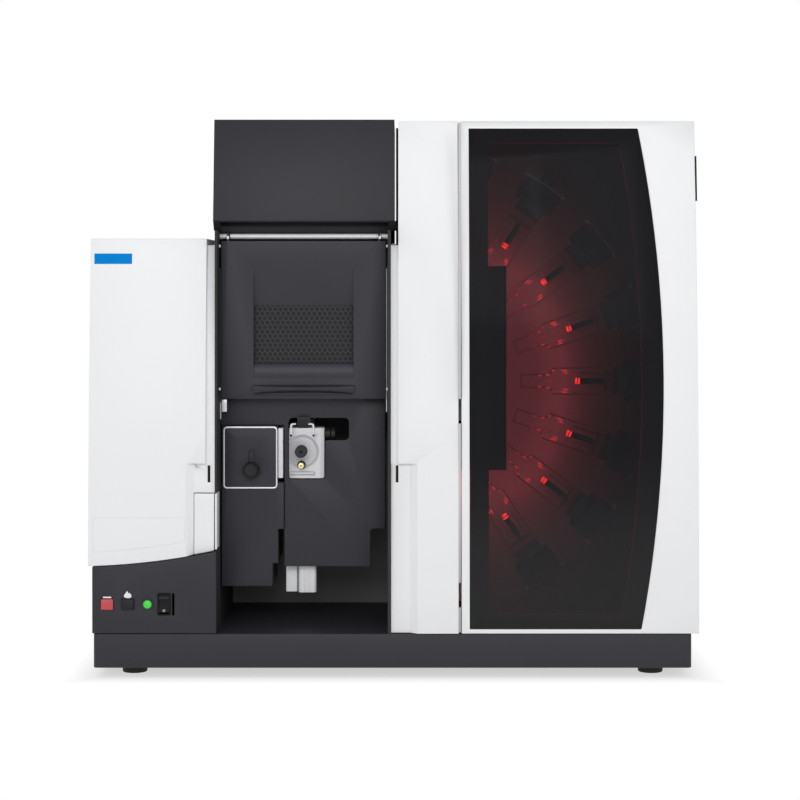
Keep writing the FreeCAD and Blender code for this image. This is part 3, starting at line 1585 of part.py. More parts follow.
knob = new_body("adjuster_knob")
knob_front = plate_front - d.knob_reach
reach = d.knob_reach - play
collar = slider_back + play - knob_front
collar_end = collar + d.collar_thick
turned(knob, "YZ_Plane",
       [(0, 0), (collar_end, 0), (collar_end, d.collar_radius), (collar, d.collar_radius),
        (collar, d.adjuster_shaft), (reach, d.adjuster_shaft), (reach, d.knob_radius),
        (d.knob_chamfer, d.knob_radius), (0, d.knob_radius - d.knob_chamfer)],
       adjuster_x, (knob_front, adjuster_height), "H_Axis")


# Oxidant block, spray chamber and everything that lifts with the burner

oxidant = new_body("oxidant_block")
add(oxidant, "XZ_Plane",
    rectangle(gas_right - d.gas_notch_in + play, chamber_low,
              gas_right - d.oxidant_in, chamber_high - d.oxidant_drop),
    gas_y + d.seam, gas_y + d.oxidant_deep)

chamber_left = cut_left + d.chamber_side_gap
chamber_right = chamber_left + d.chamber_width
chamber_y = panel_y - d.chamber_proud
chamber_back = chamber_y + d.chamber_deep
tube_back = beam_y + d.boss_radius + d.boss_margin

chamber = new_body("spray_chamber")
add(chamber, "XZ_Plane",
    softened(rectangle(chamber_left, chamber_low, chamber_right, chamber_high),
             {0: d.chamber_corner, 1: d.chamber_corner}),
    chamber_y, chamber_back)
add(chamber, "XZ_Plane", [("circle", burner_x, boss_height, d.boss_radius)], chamber_back, tube_back)
add(chamber, "XZ_Plane",
    rectangle(burner_x - d.carriage_half, boss_height - d.carriage_half,
              burner_x + d.carriage_half, boss_height + d.carriage_half),
    tube_back, rail_front - play)
neck_top = boss_height + d.neck_rise
neck_floor = neck_top - d.neck_deep
add(chamber, "XY_Plane", [("circle", burner_x, beam_y, d.neck_radius)], boss_height, neck_top)
cut(chamber, "XY_Plane", [("circle", burner_x, beam_y, d.neck_bore)], neck_floor, neck_top)
cut(chamber, "XZ_Plane",
    [("circle", burner_x, boss_height, d.ring_outer), ("circle", burner_x, boss_height, d.ring_inner)],
    chamber_y, chamber_y + d.ring_deep)
groove_low = chamber_low + d.groove_foot
cut(chamber, "XZ_Plane",
    round_rectangle(chamber_left + d.groove_left_in, groove_low,
                    chamber_right - d.groove_right_in, groove_low + d.groove_tall, d.groove_corner),
    chamber_y, chamber_y + d.groove_deep)
cut(chamber, "XZ_Plane", [("circle", burner_x, boss_height, d.neb_shaft + d.running_gap)],
    chamber_y, chamber_y + d.neb_bore_deep)
bracket_left = burner_x - d.bracket_in
bracket_front = panel_back + d.bracket_gap
add(chamber, "XZ_Plane",
    rectangle(bracket_left, chamber_high, bracket_left + d.bracket_width, chamber_high + d.bracket_tall),
    bracket_front, bracket_front + d.bracket_deep)

neb_knob = new_body("nebulizer_knob")
neb_front = chamber_y - d.neb_knob_reach
neb_reach = d.neb_knob_reach - play
neb_end = d.neb_knob_reach + d.neb_shaft_reach
turned(neb_knob, "YZ_Plane",
       [(0, d.neb_hole), (d.neb_hole_deep, d.neb_hole), (d.neb_hole_deep, 0), (neb_end, 0),
        (neb_end, d.neb_shaft), (neb_reach, d.neb_shaft), (neb_reach, d.neb_knob_radius),
        (d.neb_knob_chamfer, d.neb_knob_radius), (0, d.neb_knob_radius - d.neb_knob_chamfer)],
       burner_x, (neb_front, boss_height), "H_Axis")

fitting = new_body("nebulizer_fitting")
brass_z = boss_height - d.brass_drop
hexagon = [(burner_x + d.brass_radius * round(math.cos(math.radians(60 * n)), 6),
            brass_z + d.brass_radius * round(math.sin(math.radians(60 * n)), 6)) for n in range(6)]
hexagon_front = chamber_y - d.brass_hexagon
brass_tip = chamber_y - d.brass_reach
add(fitting, "XZ_Plane", hexagon, hexagon_front, chamber_y)
add(fitting, "XZ_Plane", [("circle", burner_x, brass_z, d.brass_radius - d.brass_step)],
    brass_tip, hexagon_front)
cut(fitting, "XZ_Plane", [("circle", burner_x, brass_z, d.brass_bore)],
    brass_tip, brass_tip + d.brass_bore_deep)


def wire_clip(label, x, inward):
    """A bent wire that turns on a stub in the block's face and hooks over its top."""
    clip = new_body(label)
    wire_y = chamber_y - d.clip_wire - play
    bend = d.clip_bend
    top = clip_height + d.clip_rise
    end = x + inward * (d.clip_inset + d.clip_wire)
    path = sketch_on(clip, "XZ_Plane", wire_y)
    stops = [(x, clip_height), (x, top - bend), (x + inward * bend, top), (end, top)]
    spots = [V(as_size(a).number, as_size(b).number, 0) for a, b in stops]
    path.addGeometry(Part.LineSegment(spots[0], spots[1]), False)
    path.addGeometry(arc_between(spots[1], spots[2], bend.number, -inward), False)
    path.addGeometry(Part.LineSegment(spots[2], spots[3]), False)
    first, last = (2, 1) if inward > 0 else (1, 2)
    path.addConstraint(Sketcher.Constraint("Coincident", 0, 2, 1, first))
    path.addConstraint(Sketcher.Constraint("Coincident", 1, last, 2, 1))
    for side, spot, stop in ((0, 1, 0), (0, 2, 1), (2, 1, 2), (2, 2, 3)):
        fix_point(path, side, spot, as_size(stops[stop][0]), as_size(stops[stop][1]))
    fix_radius(path, 1, bend)
    ring = sketch_on(clip, "XY_Plane", clip_height)
    circle(ring, x, wire_y, d.clip_wire)
    pipe = clip.newObject("PartDesign::AdditivePipe", "AdditivePipe")
    pipe.Profile = ring
    pipe.Spine = path
    add(clip, "XZ_Plane", [("circle", x, clip_height, d.clip_boss)],
        wire_y - d.clip_boss, chamber_y + d.clip_depth)
    cut(chamber, "XZ_Plane", [("circle", x, clip_height, d.clip_boss + d.running_gap)],
        chamber_y, chamber_y + d.clip_depth + play)
    return clip


wire_clip("left_clip", burner_x - d.left_clip_in, 1)
wire_clip("right_clip", burner_x + d.right_clip_in, -1)

lock = new_body("lock_knob")
lock_y = chamber_y + d.lock_in
lock_rim = d.lock_reach - d.lock_chamfer
cut(chamber, "YZ_Plane", [("circle", lock_y, lock_height, d.lock_shaft + d.running_gap)],
    chamber_right - d.lock_bore_deep, chamber_right)
turned(lock, "XY_Plane",
       [(-d.lock_shaft_reach, 0), (d.lock_reach, 0), (d.lock_reach, d.lock_radius - d.lock_chamfer),
        (lock_rim, d.lock_radius), (d.lock_groove + d.lock_groove_half, d.lock_radius),
        (d.lock_groove, d.lock_radius - d.lock_groove_deep),
        (d.lock_groove - d.lock_groove_half, d.lock_radius), (play, d.lock_radius),
        (play, d.lock_shaft), (-d.lock_shaft_reach, d.lock_shaft)],
       lock_height, (chamber_right, lock_y), "H_Axis")

burner = new_body("burner_head")
head_low = burner_top - d.head_tall
head_shoulder = head_low + d.head_shoulder
head_left = burner_x - d.burner_length / 2
head_right = burner_x + d.burner_length / 2
add(burner, "XY_Plane", [("circle", burner_x, beam_y, d.neck_bore - d.neck_slack)],
    neck_floor + play, head_low + d.head_lap)
add(burner, "YZ_Plane",
    [(beam_y - d.head_half, head_low), (beam_y + d.head_half, head_low),
     (beam_y + d.head_half, head_shoulder), (beam_y + d.head_top_half, burner_top),
     (beam_y - d.head_top_half, burner_top), (beam_y - d.head_half, head_shoulder)],
    head_left, head_right)
cut(burner, "YZ_Plane",
    rectangle(beam_y - d.flame_slot_half, burner_top - d.flame_slot_deep,
              beam_y + d.flame_slot_half, burner_top),
    head_left + d.flame_slot_in, head_right - d.flame_slot_in)

trap = new_body("drain_trap")
trap_x = burner_x + d.trap_right
trap_y = chamber_back + d.trap_back
trap_top = chamber_low - d.trap_below
tube_x = trap_x - d.trap_radius - d.tube_radius - d.trap_gap
bridge_low = trap_top - d.bridge_tall
add(trap, "XY_Plane",
    rectangle(tube_x - d.tube_radius, trap_y - d.bridge_front,
              trap_x + d.trap_radius, trap_y + d.bridge_back),
    bridge_low, trap_top)
add(trap, "XY_Plane", [("circle", trap_x, trap_y, d.trap_radius)], d.trap_low, bridge_low)
add(trap, "XY_Plane", [("circle", tube_x, trap_y + d.tube_behind, d.tube_radius)], d.trap_low, bridge_low)
add(trap, "XY_Plane", [("circle", burner_x, chamber_back - d.spigot_in, d.spigot_radius)],
    trap_top, chamber_low)


# Inside the rear housing and on its back

case_low = d.beam_height - d.optics_below
case_high = d.beam_height + d.optics_above
mono = new_body("monochromator")
mono_left, mono_right = rear_left + d.optics_in_left, rear_right - d.optics_in_right
mono_front, mono_back = rear_front + d.optics_in_front, rear - d.optics_in_back
add(mono, "XY_Plane",
    softened(rectangle(mono_left, mono_front, mono_right, mono_back), {n: d.optics_corner for n in range(4)}),
    case_low, case_high)
legs = [("circle", x, y, d.leg_radius) for x in (mono_left + d.leg_in, mono_right - d.leg_in)
        for y in (mono_front + d.leg_in, mono_back - d.leg_in)]
add(mono, "XY_Plane", legs, base_top, case_low)

supply = new_body("power_supply")
add(supply, "XY_Plane",
    rectangle(mono_left + d.supply_in_left, mono_front + d.supply_in_front,
              mono_right - d.supply_in_right, mono_back - d.supply_in_back),
    base_top, base_top + d.supply_height)

inlet = new_body("mains_inlet")
add(inlet, "XZ_Plane",
    round_rectangle(inlet_left - d.flange_margin, inlet_low - d.flange_margin,
                    inlet_right + d.flange_margin, inlet_high + d.flange_margin, d.flange_corner),
    rear, rear + d.flange_thick)
add(inlet, "XZ_Plane", rectangle(inlet_left + play, inlet_low + play, inlet_right - play, inlet_high - play),
    rear - d.inlet_deep, rear)
cut(inlet, "XZ_Plane",
    rectangle(inlet_left + d.socket_side, inlet_low + d.socket_edge,
              inlet_right - d.socket_side, inlet_high - d.socket_edge),
    rear - d.socket_deep, rear + d.flange_thick)

gas_inlets = new_body("gas_inlets")
spout = d.rear_fitting_depth - d.gas_spout_taper
for number in range(int(d.gas_inlet_count.number)):
    turned(gas_inlets, "YZ_Plane",
           [(0, 0), (0, d.gas_nut_radius), (d.gas_nut_thick, d.gas_nut_radius),
            (d.gas_nut_thick, d.gas_spout_radius), (spout, d.gas_spout_radius),
            (d.rear_fitting_depth, d.gas_spout_tip), (d.rear_fitting_depth, d.gas_bore),
            (d.gas_bore_end, d.gas_bore), (d.gas_bore_end, 0)],
           left + d.gas_inlet_in + d.gas_inlet_pitch * number, (rear, d.gas_inlet_height), "H_Axis")


# Recompute, check and write

doc.recompute()
for item in doc.Objects:
    if "Invalid" in item.State or "Error" in item.State:
        raise RuntimeError(f"{item.Name} in {item.Label} failed to compute")
for piece in pieces:
    if piece.Shape.isNull() or not piece.Shape.isValid():
        raise RuntimeError(f"{piece.Label} has no valid shape")
    volume = None
    for feature in getattr(piece, "Group", []):
        if not feature.isDerivedFrom("PartDesign::Feature"):
            continue
        if "Pocket" in feature.TypeId or "Subtractive" in feature.TypeId:
            if feature.Shape.Volume > volume - 0.001:
                raise RuntimeError(f"{feature.Name} of {piece.Label} cuts nothing")
        volume = feature.Shape.Volume

os.makedirs("parts", exist_ok=True)
for piece in pieces:
    piece.Shape.exportStep(f"parts/{piece.Label}.step")
print(len(pieces), "parts written")
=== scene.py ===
import json
import math

import bmesh
import bpy
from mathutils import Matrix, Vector

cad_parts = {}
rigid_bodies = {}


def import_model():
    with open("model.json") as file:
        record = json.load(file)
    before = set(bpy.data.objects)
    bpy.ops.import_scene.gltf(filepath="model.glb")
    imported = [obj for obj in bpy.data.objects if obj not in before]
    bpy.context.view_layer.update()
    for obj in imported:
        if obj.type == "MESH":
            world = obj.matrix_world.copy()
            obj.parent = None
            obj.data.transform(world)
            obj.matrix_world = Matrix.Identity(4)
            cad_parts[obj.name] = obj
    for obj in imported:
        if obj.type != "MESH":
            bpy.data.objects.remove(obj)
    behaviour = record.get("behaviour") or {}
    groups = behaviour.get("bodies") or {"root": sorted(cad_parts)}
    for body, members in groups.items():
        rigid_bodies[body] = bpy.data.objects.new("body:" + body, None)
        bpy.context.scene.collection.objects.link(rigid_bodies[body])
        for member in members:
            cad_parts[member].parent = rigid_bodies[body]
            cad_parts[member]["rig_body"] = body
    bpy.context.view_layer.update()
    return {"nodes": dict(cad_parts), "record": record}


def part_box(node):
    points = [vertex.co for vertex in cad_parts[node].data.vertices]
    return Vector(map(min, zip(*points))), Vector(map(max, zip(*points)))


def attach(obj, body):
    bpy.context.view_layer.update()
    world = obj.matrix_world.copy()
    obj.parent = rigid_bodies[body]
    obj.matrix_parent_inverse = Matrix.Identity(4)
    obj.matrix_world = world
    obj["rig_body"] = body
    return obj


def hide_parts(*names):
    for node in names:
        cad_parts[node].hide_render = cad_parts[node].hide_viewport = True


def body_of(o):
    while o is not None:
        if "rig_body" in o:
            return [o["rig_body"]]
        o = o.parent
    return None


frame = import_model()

nodes = frame["nodes"]
slot_of = {part["node"]: part["material_slot"] for part in frame["record"]["subparts"]}
MM = 0.001
RIGHT, BACK, UP = Vector((1, 0, 0)), Vector((0, 1, 0)), Vector((0, 0, 1))
ORIGIN = (0, 0, 0)


def corners_of(name):
    """Low and high corner of a node's box, in millimetres."""
    low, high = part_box(name)
    return Vector(low) / MM, Vector(high) / MM


def middle_of(name):
    low, high = corners_of(name)
    return (low + high) / 2


# Node material helpers

class Shader:
    """A material's node tree, with short calls for the nodes that the finishes share."""

    def __init__(self, name):
        self.material = bpy.data.materials.new(name)
        self.material.use_nodes = True
        self.tree = self.material.node_tree
        self.surface = self.tree.nodes["Principled BSDF"]
        self.output = self.tree.nodes["Material Output"]
        self.place = self.tree.nodes.new("ShaderNodeTexCoord").outputs["Object"]

    def node(self, kind, **settings):
        made = self.tree.nodes.new("ShaderNode" + kind)
        for key, value in settings.items():
            setattr(made, key, value)
        return made

    def link(self, source, target):
        self.tree.links.new(source, target)

    def set(self, **values):
        for key, value in values.items():
            self.surface.inputs[key.replace("_", " ")].default_value = value

    def math(self, operation, *values):
        made = self.node("Math", operation=operation)
        for socket, value in zip(made.inputs, values):
            if isinstance(value, bpy.types.NodeSocket):
                self.link(value, socket)
            else:
                socket.default_value = value
        return made.outputs[0]

    def noise(self, size, detail=2.0, stretch=(1, 1, 1)):
        """Noise whose features measure about 'size' metres, drawn out along an axis by stretch."""
        mapping = self.node("Mapping")
        mapping.inputs["Scale"].default_value = stretch
        self.link(self.place, mapping.inputs["Vector"])
        made = self.node("TexNoise")
        made.inputs["Scale"].default_value = 1 / size
        made.inputs["Detail"].default_value = detail
        self.link(mapping.outputs["Vector"], made.inputs["Vector"])
        return made.outputs["Fac"]

    def ramp(self, source, *stops):
        made = self.node("ValToRGB")
        elements = made.color_ramp.elements
        while len(elements) < len(stops):
            elements.new(0.5)
        for element, (spot, colour) in zip(elements, stops):
            element.position = spot
            element.color = (*colour, 1)
        self.link(source, made.inputs["Fac"])
        return made.outputs["Color"]

    def spread(self, source, low, high, start=0.3, end=0.7):
        """Spreads what runs from start to end over low to high."""
        made = self.node("MapRange")
        made.inputs["From Min"].default_value = start
        made.inputs["From Max"].default_value = end
        made.inputs["To Min"].default_value = low
        made.inputs["To Max"].default_value = high
        self.link(source, made.inputs["Value"])
        return made.outputs["Result"]

    def by_place(self, axis, *stops):
        """A colour that changes along an axis, given as (place in millimetres, colour)."""
        apart = self.node("SeparateXYZ")
        self.link(self.place, apart.inputs[0])
        low, high = stops[0][0], stops[-1][0]
        share = self.spread(apart.outputs[axis], 0.0, 1.0, low * MM, high * MM)
        shares = [((place - low) / (high - low), colour) for place, colour in stops]
        self.link(self.ramp(share, *shares), self.surface.inputs["Base Color"])

    def bump(self, height, strength, distance):
        made = self.node("Bump")
        made.inputs["Strength"].default_value = strength
        made.inputs["Distance"].default_value = distance
        self.link(height, made.inputs["Height"])
        self.link(made.outputs["Normal"], self.surface.inputs["Normal"])

    def distance_from(self, centre, flatten):
        """Distance in metres from a point, counting each axis by its factor in flatten."""
        mapping = self.node("Mapping")
        mapping.inputs["Location"].default_value = [-c * f for c, f in zip(centre, flatten)]
        mapping.inputs["Scale"].default_value = flatten
        self.link(self.place, mapping.inputs["Vector"])
        length = self.node("VectorMath", operation="LENGTH")
        self.link(mapping.outputs["Vector"], length.inputs[0])
        return length.outputs["Value"]


def shade(colour, factor):
    return tuple(channel * factor for channel in colour)


DRIFT_SIZE, DETAIL, ROUGH_SPAN, RELIEF_DEPTH = 0.12, 3.0, 0.05, 0.4


def finish(name, colour, rough, grain, relief, variation=0.04, metal=0.0, stretch=(1, 1, 1), **sockets):
    """A base colour that drifts a little, roughness that follows the grain, and the grain's relief."""
    made = Shader(name)
    made.set(Metallic=metal, **sockets)
    drift = made.noise(DRIFT_SIZE, DETAIL)
    made.link(made.ramp(drift, (0.3, shade(colour, 1 - variation)), (0.7, shade(colour, 1 + variation))),
              made.surface.inputs["Base Color"])
    texture = made.noise(grain, DETAIL, stretch)
    made.link(made.spread(texture, rough - ROUGH_SPAN, rough + ROUGH_SPAN), made.surface.inputs["Roughness"])
    made.bump(texture, relief, grain * RELIEF_DEPTH)
    return made


# Finishes: colour, roughness, grain in metres, relief and drift of the colour

WHITE = (0.86, 0.865, 0.875)
CHARCOAL_SHEET = (0.0343, 0.033, 0.0405)
SOFT_GLOSS = {"Specular_IOR_Level": 0.25}

white_cover = finish("white_moulding", WHITE, 0.38, 0.0012, 0.05, 0.008)
white_sheet = finish("white_powder_coat", WHITE, 0.45, 0.0008, 0.12, 0.008)
charcoal_coat = finish("charcoal_powder_coat", (0.0345, 0.0334, 0.041), 0.5, 0.0006, 0.25, **SOFT_GLOSS)
charcoal_sheet = finish("charcoal_sheet", CHARCOAL_SHEET, 0.46, 0.0007, 0.2, **SOFT_GLOSS)
# The hood's coat is painted darker than the shield's: painted shade against the extra light its backward lean
# catches.
hood_coat_painted_shade = finish("hood_powder_coat_painted_shade", (0.0265, 0.0255, 0.0315), 0.46, 0.0007, 0.2, **SOFT_GLOSS)
charcoal_moulding = finish("charcoal_moulding", (0.0335, 0.0326, 0.04), 0.55, 0.0009, 0.25, **SOFT_GLOSS)
wall_coat = finish("matt_dark_wall", (0.03, 0.03, 0.032), 0.65, 0.0007, 0.25, **SOFT_GLOSS)
# Matt black for linings and housings, also used for strips and lines of painted shadow and shade.
black_lining_and_painted_shadow = finish("matt_black_lining_and_painted_shadow", (0.008, 0.008, 0.009), 0.7, 0.0007, 0.2, **SOFT_GLOSS)
# The back wall's mid grey, far lighter than the dark walls beside it, is painted light in the compartment.
inner_wall_painted_light = finish("inner_wall_coat_painted_light", (0.2, 0.2, 0.208), 0.65, 0.0007, 0.25, **SOFT_GLOSS)
border_coat = finish("window_border_coat", (0.052, 0.0498, 0.0565), 0.6, 0.0009, 0.1, **SOFT_GLOSS)
black_rubber = finish("black_rubber", (0.018, 0.018, 0.019), 0.7, 0.001, 0.3)
red_plastic = finish("red_button_plastic", (0.55, 0.065, 0.07), 0.35, 0.0006, 0.1)
black_plastic = finish("black_plastic", (0.013, 0.013, 0.015), 0.42, 0.0006, 0.2, **SOFT_GLOSS)
gloss_black = finish("gloss_black_plastic", (0.008, 0.008, 0.010), 0.3, 0.0006, 0.1)
blue_plate = finish("blue_plate", (0.003, 0.23, 0.67), 0.5, 0.0006, 0.04, Specular_IOR_Level=0.02)
silver_plastic = finish("silver_plastic", (0.74, 0.74, 0.77), 0.34, 0.0008, 0.1)
silver_line = finish("silver_inlay", (0.42, 0.42, 0.45), 0.4, 0.0006, 0.05)
pale_base = finish("lamp_base_moulding", (0.1, 0.094, 0.088), 0.5, 0.001, 0.1)
bright_steel = finish("bright_steel", (0.82, 0.82, 0.85), 0.3, 0.0004, 0.03, metal=0.15, stretch=(0.1, 1, 1))
white_wire = finish("coated_wire", (0.88, 0.88, 0.9), 0.3, 0.0005, 0.04, 0.01)
zinc_steel = finish("zinc_steel", (0.55, 0.56, 0.58), 0.34, 0.0008, 0.08, metal=0.8)
aluminium = finish("aluminium", (0.72, 0.72, 0.74), 0.3, 0.0005, 0.08, metal=0.5, stretch=(1, 1, 0.1))
brass = finish("brass", (0.95, 0.76, 0.36), 0.25, 0.0004, 0.04, metal=0.25)
# Dark pierced steel, also for the painted highlight on the rocker's ridge.
dark_steel_and_painted_highlight = finish("dark_pierced_steel_and_painted_highlight", (0.05, 0.049, 0.054), 0.45, 0.0004, 0.1, **SOFT_GLOSS)
painted_shade_lining = finish("painted_shade_mesh_lining", (0.016, 0.016, 0.018), 0.6, 0.0005, 0.1, **SOFT_GLOSS)
mirror_face = finish("mirror_face", (0.9, 0.9, 0.92), 0.06, 0.002, 0.01, metal=1.0)
white_print = finish("white_print", (0.85, 0.85, 0.86), 0.5, 0.0006, 0.05, 0.01)
grey_seal = finish("grey_edge_seal", (0.55, 0.55, 0.56), 0.6, 0.001, 0.1)
# Grey for the rocker's inlaid dot, also for the painted shade round the chamber's pill groove.
grey_inlay_and_groove_shade = finish("grey_inlay_and_groove_shade", (0.28, 0.28, 0.3), 0.4, 0.0006, 0.05)
# The groove's darker grey is painted shade in the dish's groove.
dish_groove_painted_shade = finish("dish_groove_painted_shade", (0.42, 0.42, 0.44), 0.4, 0.0006, 0.05)
# Black for the lamps' metal, also for dark outlines and a knob's bore drawn as painted shade.
lamp_black_and_painted_shade = finish("black_lamp_metal_and_painted_shade", (0.004, 0.004, 0.005), 0.6, 0.0006, 0.1, Specular_IOR_Level=0.1)


def lit(name, colour, glow, strength):
    made = finish(name, colour, 0.4, 0.001, 0.05)
    made.set(Emission_Color=(*glow, 1), Emission_Strength=strength)
    return made


green_lens = lit("green_lens", (0.045, 0.58, 0.05), (0.05, 0.75, 0.05), 0.2)
hot_cathode = lit("hot_cathode", (0.3, 0.01, 0.01), (1.0, 0.02, 0.022), 6.5)
# Painted reflection: red strokes that shine like glints in the lamp glass.
painted_red_glint = lit("painted_red_glint", (0.2, 0.01, 0.01), (1.0, 0.03, 0.04), 6.0)
# Painted glow: thin red lines that shine along the glass's sides and the window's clear edge.
painted_red_edge_glow = lit("painted_red_edge_glow_line", (0.05, 0.006, 0.008), (0.24, 0.025, 0.03), 1.5)


def make_glass():
    """Clear glass that shows most at its outline, with the red of the discharge painted into its colour as
    painted light.
    """
    made = finish("clear_glass", (0.05, 0.006, 0.008), 0.1, 0.004, 0.02, Specular_IOR_Level=0.15)
    facing = made.node("LayerWeight")
    facing.inputs["Blend"].default_value = 0.25
    made.link(made.spread(facing.outputs["Facing"], 0.0, 0.8, 0.4, 0.97), made.surface.inputs["Alpha"])
    return made


def make_pane_with_painted_light():
    """Smoked pane, painted a little paler towards its foot as painted light."""
    made = finish("smoked_pane", (0.018, 0.0175, 0.02), 0.08, 0.01, 0.005, Specular_IOR_Level=0.03)
    made.by_place("Z", (60, (0.042, 0.041, 0.043)), (125, (0.0375, 0.0365, 0.0385)),
                  (180, (0.0335, 0.0325, 0.0345)), (235, (0.0235, 0.0225, 0.0245)),
                  (290, (0.0185, 0.0175, 0.0195)), (700, (0.0165, 0.0155, 0.0175)))
    made.set(Alpha=0.62)
    return made


def make_painted_glow_plate():
    """A dark plate with a painted red glow behind the open ends of the lamps, fading out towards their
    holders.
    """
    made = finish("plate_with_painted_red_glow", (0.014, 0.013, 0.014), 0.6, 0.0008, 0.2, **SOFT_GLOSS)
    centre = Vector((130, corners_of("lamp_plate")[0].y, 378)) * MM
    only_the_front = (1.6, 120, 1)
    levels = ((0.0, 0.17), (0.1, 0.185), (0.131, 0.245), (0.16, 0.27), (0.172, 0.215), (0.186, 0.15),
              (0.21, 0.088), (0.225, 0.065), (0.245, 0.042), (0.27, 0.028), (0.3, 0.012), (0.34, 0.0))
    glow = made.ramp(made.distance_from(centre, only_the_front),
                     *((spot, shade((1, 0.13, 0.16), level)) for spot, level in levels))
    made.link(glow, made.surface.inputs["Emission Color"])
    made.set(Emission_Strength=2.6)
    return made


def make_ramp_painted_highlight_sheet():
    """The dark coating with a painted highlight: a lighter band along the middle of the scoop's ramp."""
    dull, highlight_colour = CHARCOAL_SHEET, (0.078, 0.077, 0.081)
    made = finish("charcoal_sheet_painted_highlight", dull, 0.5, 0.0007, 0.2, Specular_IOR_Level=0.15)
    made.by_place("Z", (385, dull), (391, shade(dull, 1.2)), (397, highlight_colour), (402, shade(dull, 1.8)),
                  (405.6, shade(dull, 1.5)))
    return made


def make_painted_shade_chamber_plastic():
    """Silver plastic with painted shade: darker towards the chamber's turned-away left side, and a little
    towards its right side.
    """
    made = finish("chamber_plastic_painted_shade", (0.7, 0.7, 0.73), 0.34, 0.0008, 0.1)
    made.by_place("X", (-139.4, (0.36, 0.36, 0.38)), (-136, (0.5, 0.5, 0.52)), (-128, (0.7, 0.7, 0.73)),
                  (-100, (0.72, 0.72, 0.75)), (-93, (0.5, 0.5, 0.52)))
    return made


def make_painted_shade_dish_plastic():
    """The dish's silver plastic with painted shade, darker to the left like the chamber that holds it."""
    made = finish("dish_plastic_painted_shade", (0.6, 0.6, 0.62), 0.34, 0.0008, 0.1)
    made.by_place("X", (-139.4, (0.33, 0.33, 0.35)), (-134, (0.4, 0.4, 0.42)), (-124, (0.53, 0.53, 0.55)),
                  (-110, (0.63, 0.63, 0.65)), (-99.5, (0.56, 0.56, 0.58)))
    return made


clear_glass = make_glass()
chamber_plastic_painted_shade = make_painted_shade_chamber_plastic()
dish_plastic_painted_shade = make_painted_shade_dish_plastic()
ramp_painted_highlight_sheet = make_ramp_painted_highlight_sheet()
# Dark green ring at the lens's edge: painted shade of the lit lens.
lens_rim_painted_shade = finish("dark_green_rim_painted_shade", (0.01, 0.2, 0.012), 0.35, 0.0006, 0.05)
smoked_pane = make_pane_with_painted_light()
painted_glow_plate = make_painted_glow_plate()

FINISH_OF_SLOT = {
    "white_cover": white_cover, "white_sheet": white_sheet, "charcoal_base": charcoal_coat,
    "rubber": black_rubber, "dark_panel": charcoal_moulding, "red_plastic": red_plastic,
    "black_plastic": black_plastic, "green_lens": green_lens, "blue_badge": blue_plate,
    "smoked_pane": smoked_pane, "clear_glass": clear_glass, "dark_sheet": charcoal_sheet,
    "bright_steel": bright_steel, "mesh": dark_steel_and_painted_highlight, "zinc_steel": zinc_steel, "aluminium": aluminium,
    "silver_plastic": silver_plastic, "lamp_base": pale_base, "brass": brass, "mirror": mirror_face,
    "supply_case": zinc_steel,
}
# Solids whose finish isn't their slot's
FINISH_OF_SOLID = {
    "lamp_plate": painted_glow_plate, "back_wall": inner_wall_painted_light, "left_wall": wall_coat, "right_wall": wall_coat,
    "mirror_shroud": wall_coat, "mirror_motor": wall_coat, "spray_chamber": chamber_plastic_painted_shade,
    "hood": hood_coat_painted_shade, "rocker_housing": black_lining_and_painted_shadow, "power_rocker": black_lining_and_painted_shadow,
    "drain_trap": white_cover, "stop_pins": white_wire, "left_clip": white_wire, "right_clip": white_wire,
    "hinge_arms": white_sheet, "nebulizer_knob": hood_coat_painted_shade,
}


def look_of(name):
    return FINISH_OF_SOLID.get(name) or FINISH_OF_SLOT[slot_of[name]]


# Pieces: how a mesh becomes one, and copies of solids with eased edges

EDGE_ANGLE = math.radians(30)
# Loose triangles are merged within this distance and flattened within this angle before they are eased
MERGE, FLAT = 0.002 * MM, 0.002


def placed(name, data):
    made = bpy.data.objects.new(name, data)
    bpy.context.scene.collection.objects.link(made)
    return made


def smooth(mesh, angle=32):
    mesh.polygons.foreach_set("use_smooth", [True] * len(mesh.polygons))
    mesh.set_sharp_from_angle(angle=math.radians(angle))


def settle(thing):
    """Turns an object's modifiers into plain mesh."""
    graph = bpy.context.evaluated_depsgraph_get()
    mesh = bpy.data.meshes.new_from_object(thing.evaluated_get(graph))
    thing.modifiers.clear()
    thing.data = mesh
    return thing


def baked(thing):
    """The plain mesh of an object that then goes."""
    mesh = settle(thing).data
    bpy.data.objects.remove(thing)
    return mesh


def shown(name, mesh, look, body, replaced=(), bevel=0.0, segments=2, angle=32):
    """Puts a mesh in the scene as a piece that rides on a body and takes the finish it is given."""
    made = placed(name, mesh)
    if bevel:
        easing = made.modifiers.new("easing", "BEVEL")
        easing.width = bevel * MM
        easing.segments = segments
        easing.limit_method = "ANGLE"
        easing.angle_limit = EDGE_ANGLE
        easing.use_clamp_overlap = False
        settle(made)
    smooth(made.data, angle)
    made.data.materials.clear()
    made.data.materials.append(look.material)
    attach(made, body)
    if replaced:
        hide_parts(*replaced)
    return made


def cut_away(form, place, outward):
    """Takes off what lies outward of a plane and closes the cut."""
    whole = form.verts[:] + form.edges[:] + form.faces[:]
    cut = bmesh.ops.bisect_plane(form, geom=whole, plane_co=Vector(place) * MM, plane_no=outward,
                                 clear_outer=True)["geom_cut"]
    bmesh.ops.holes_fill(form, edges=[part for part in cut if isinstance(part, bmesh.types.BMEdge)])


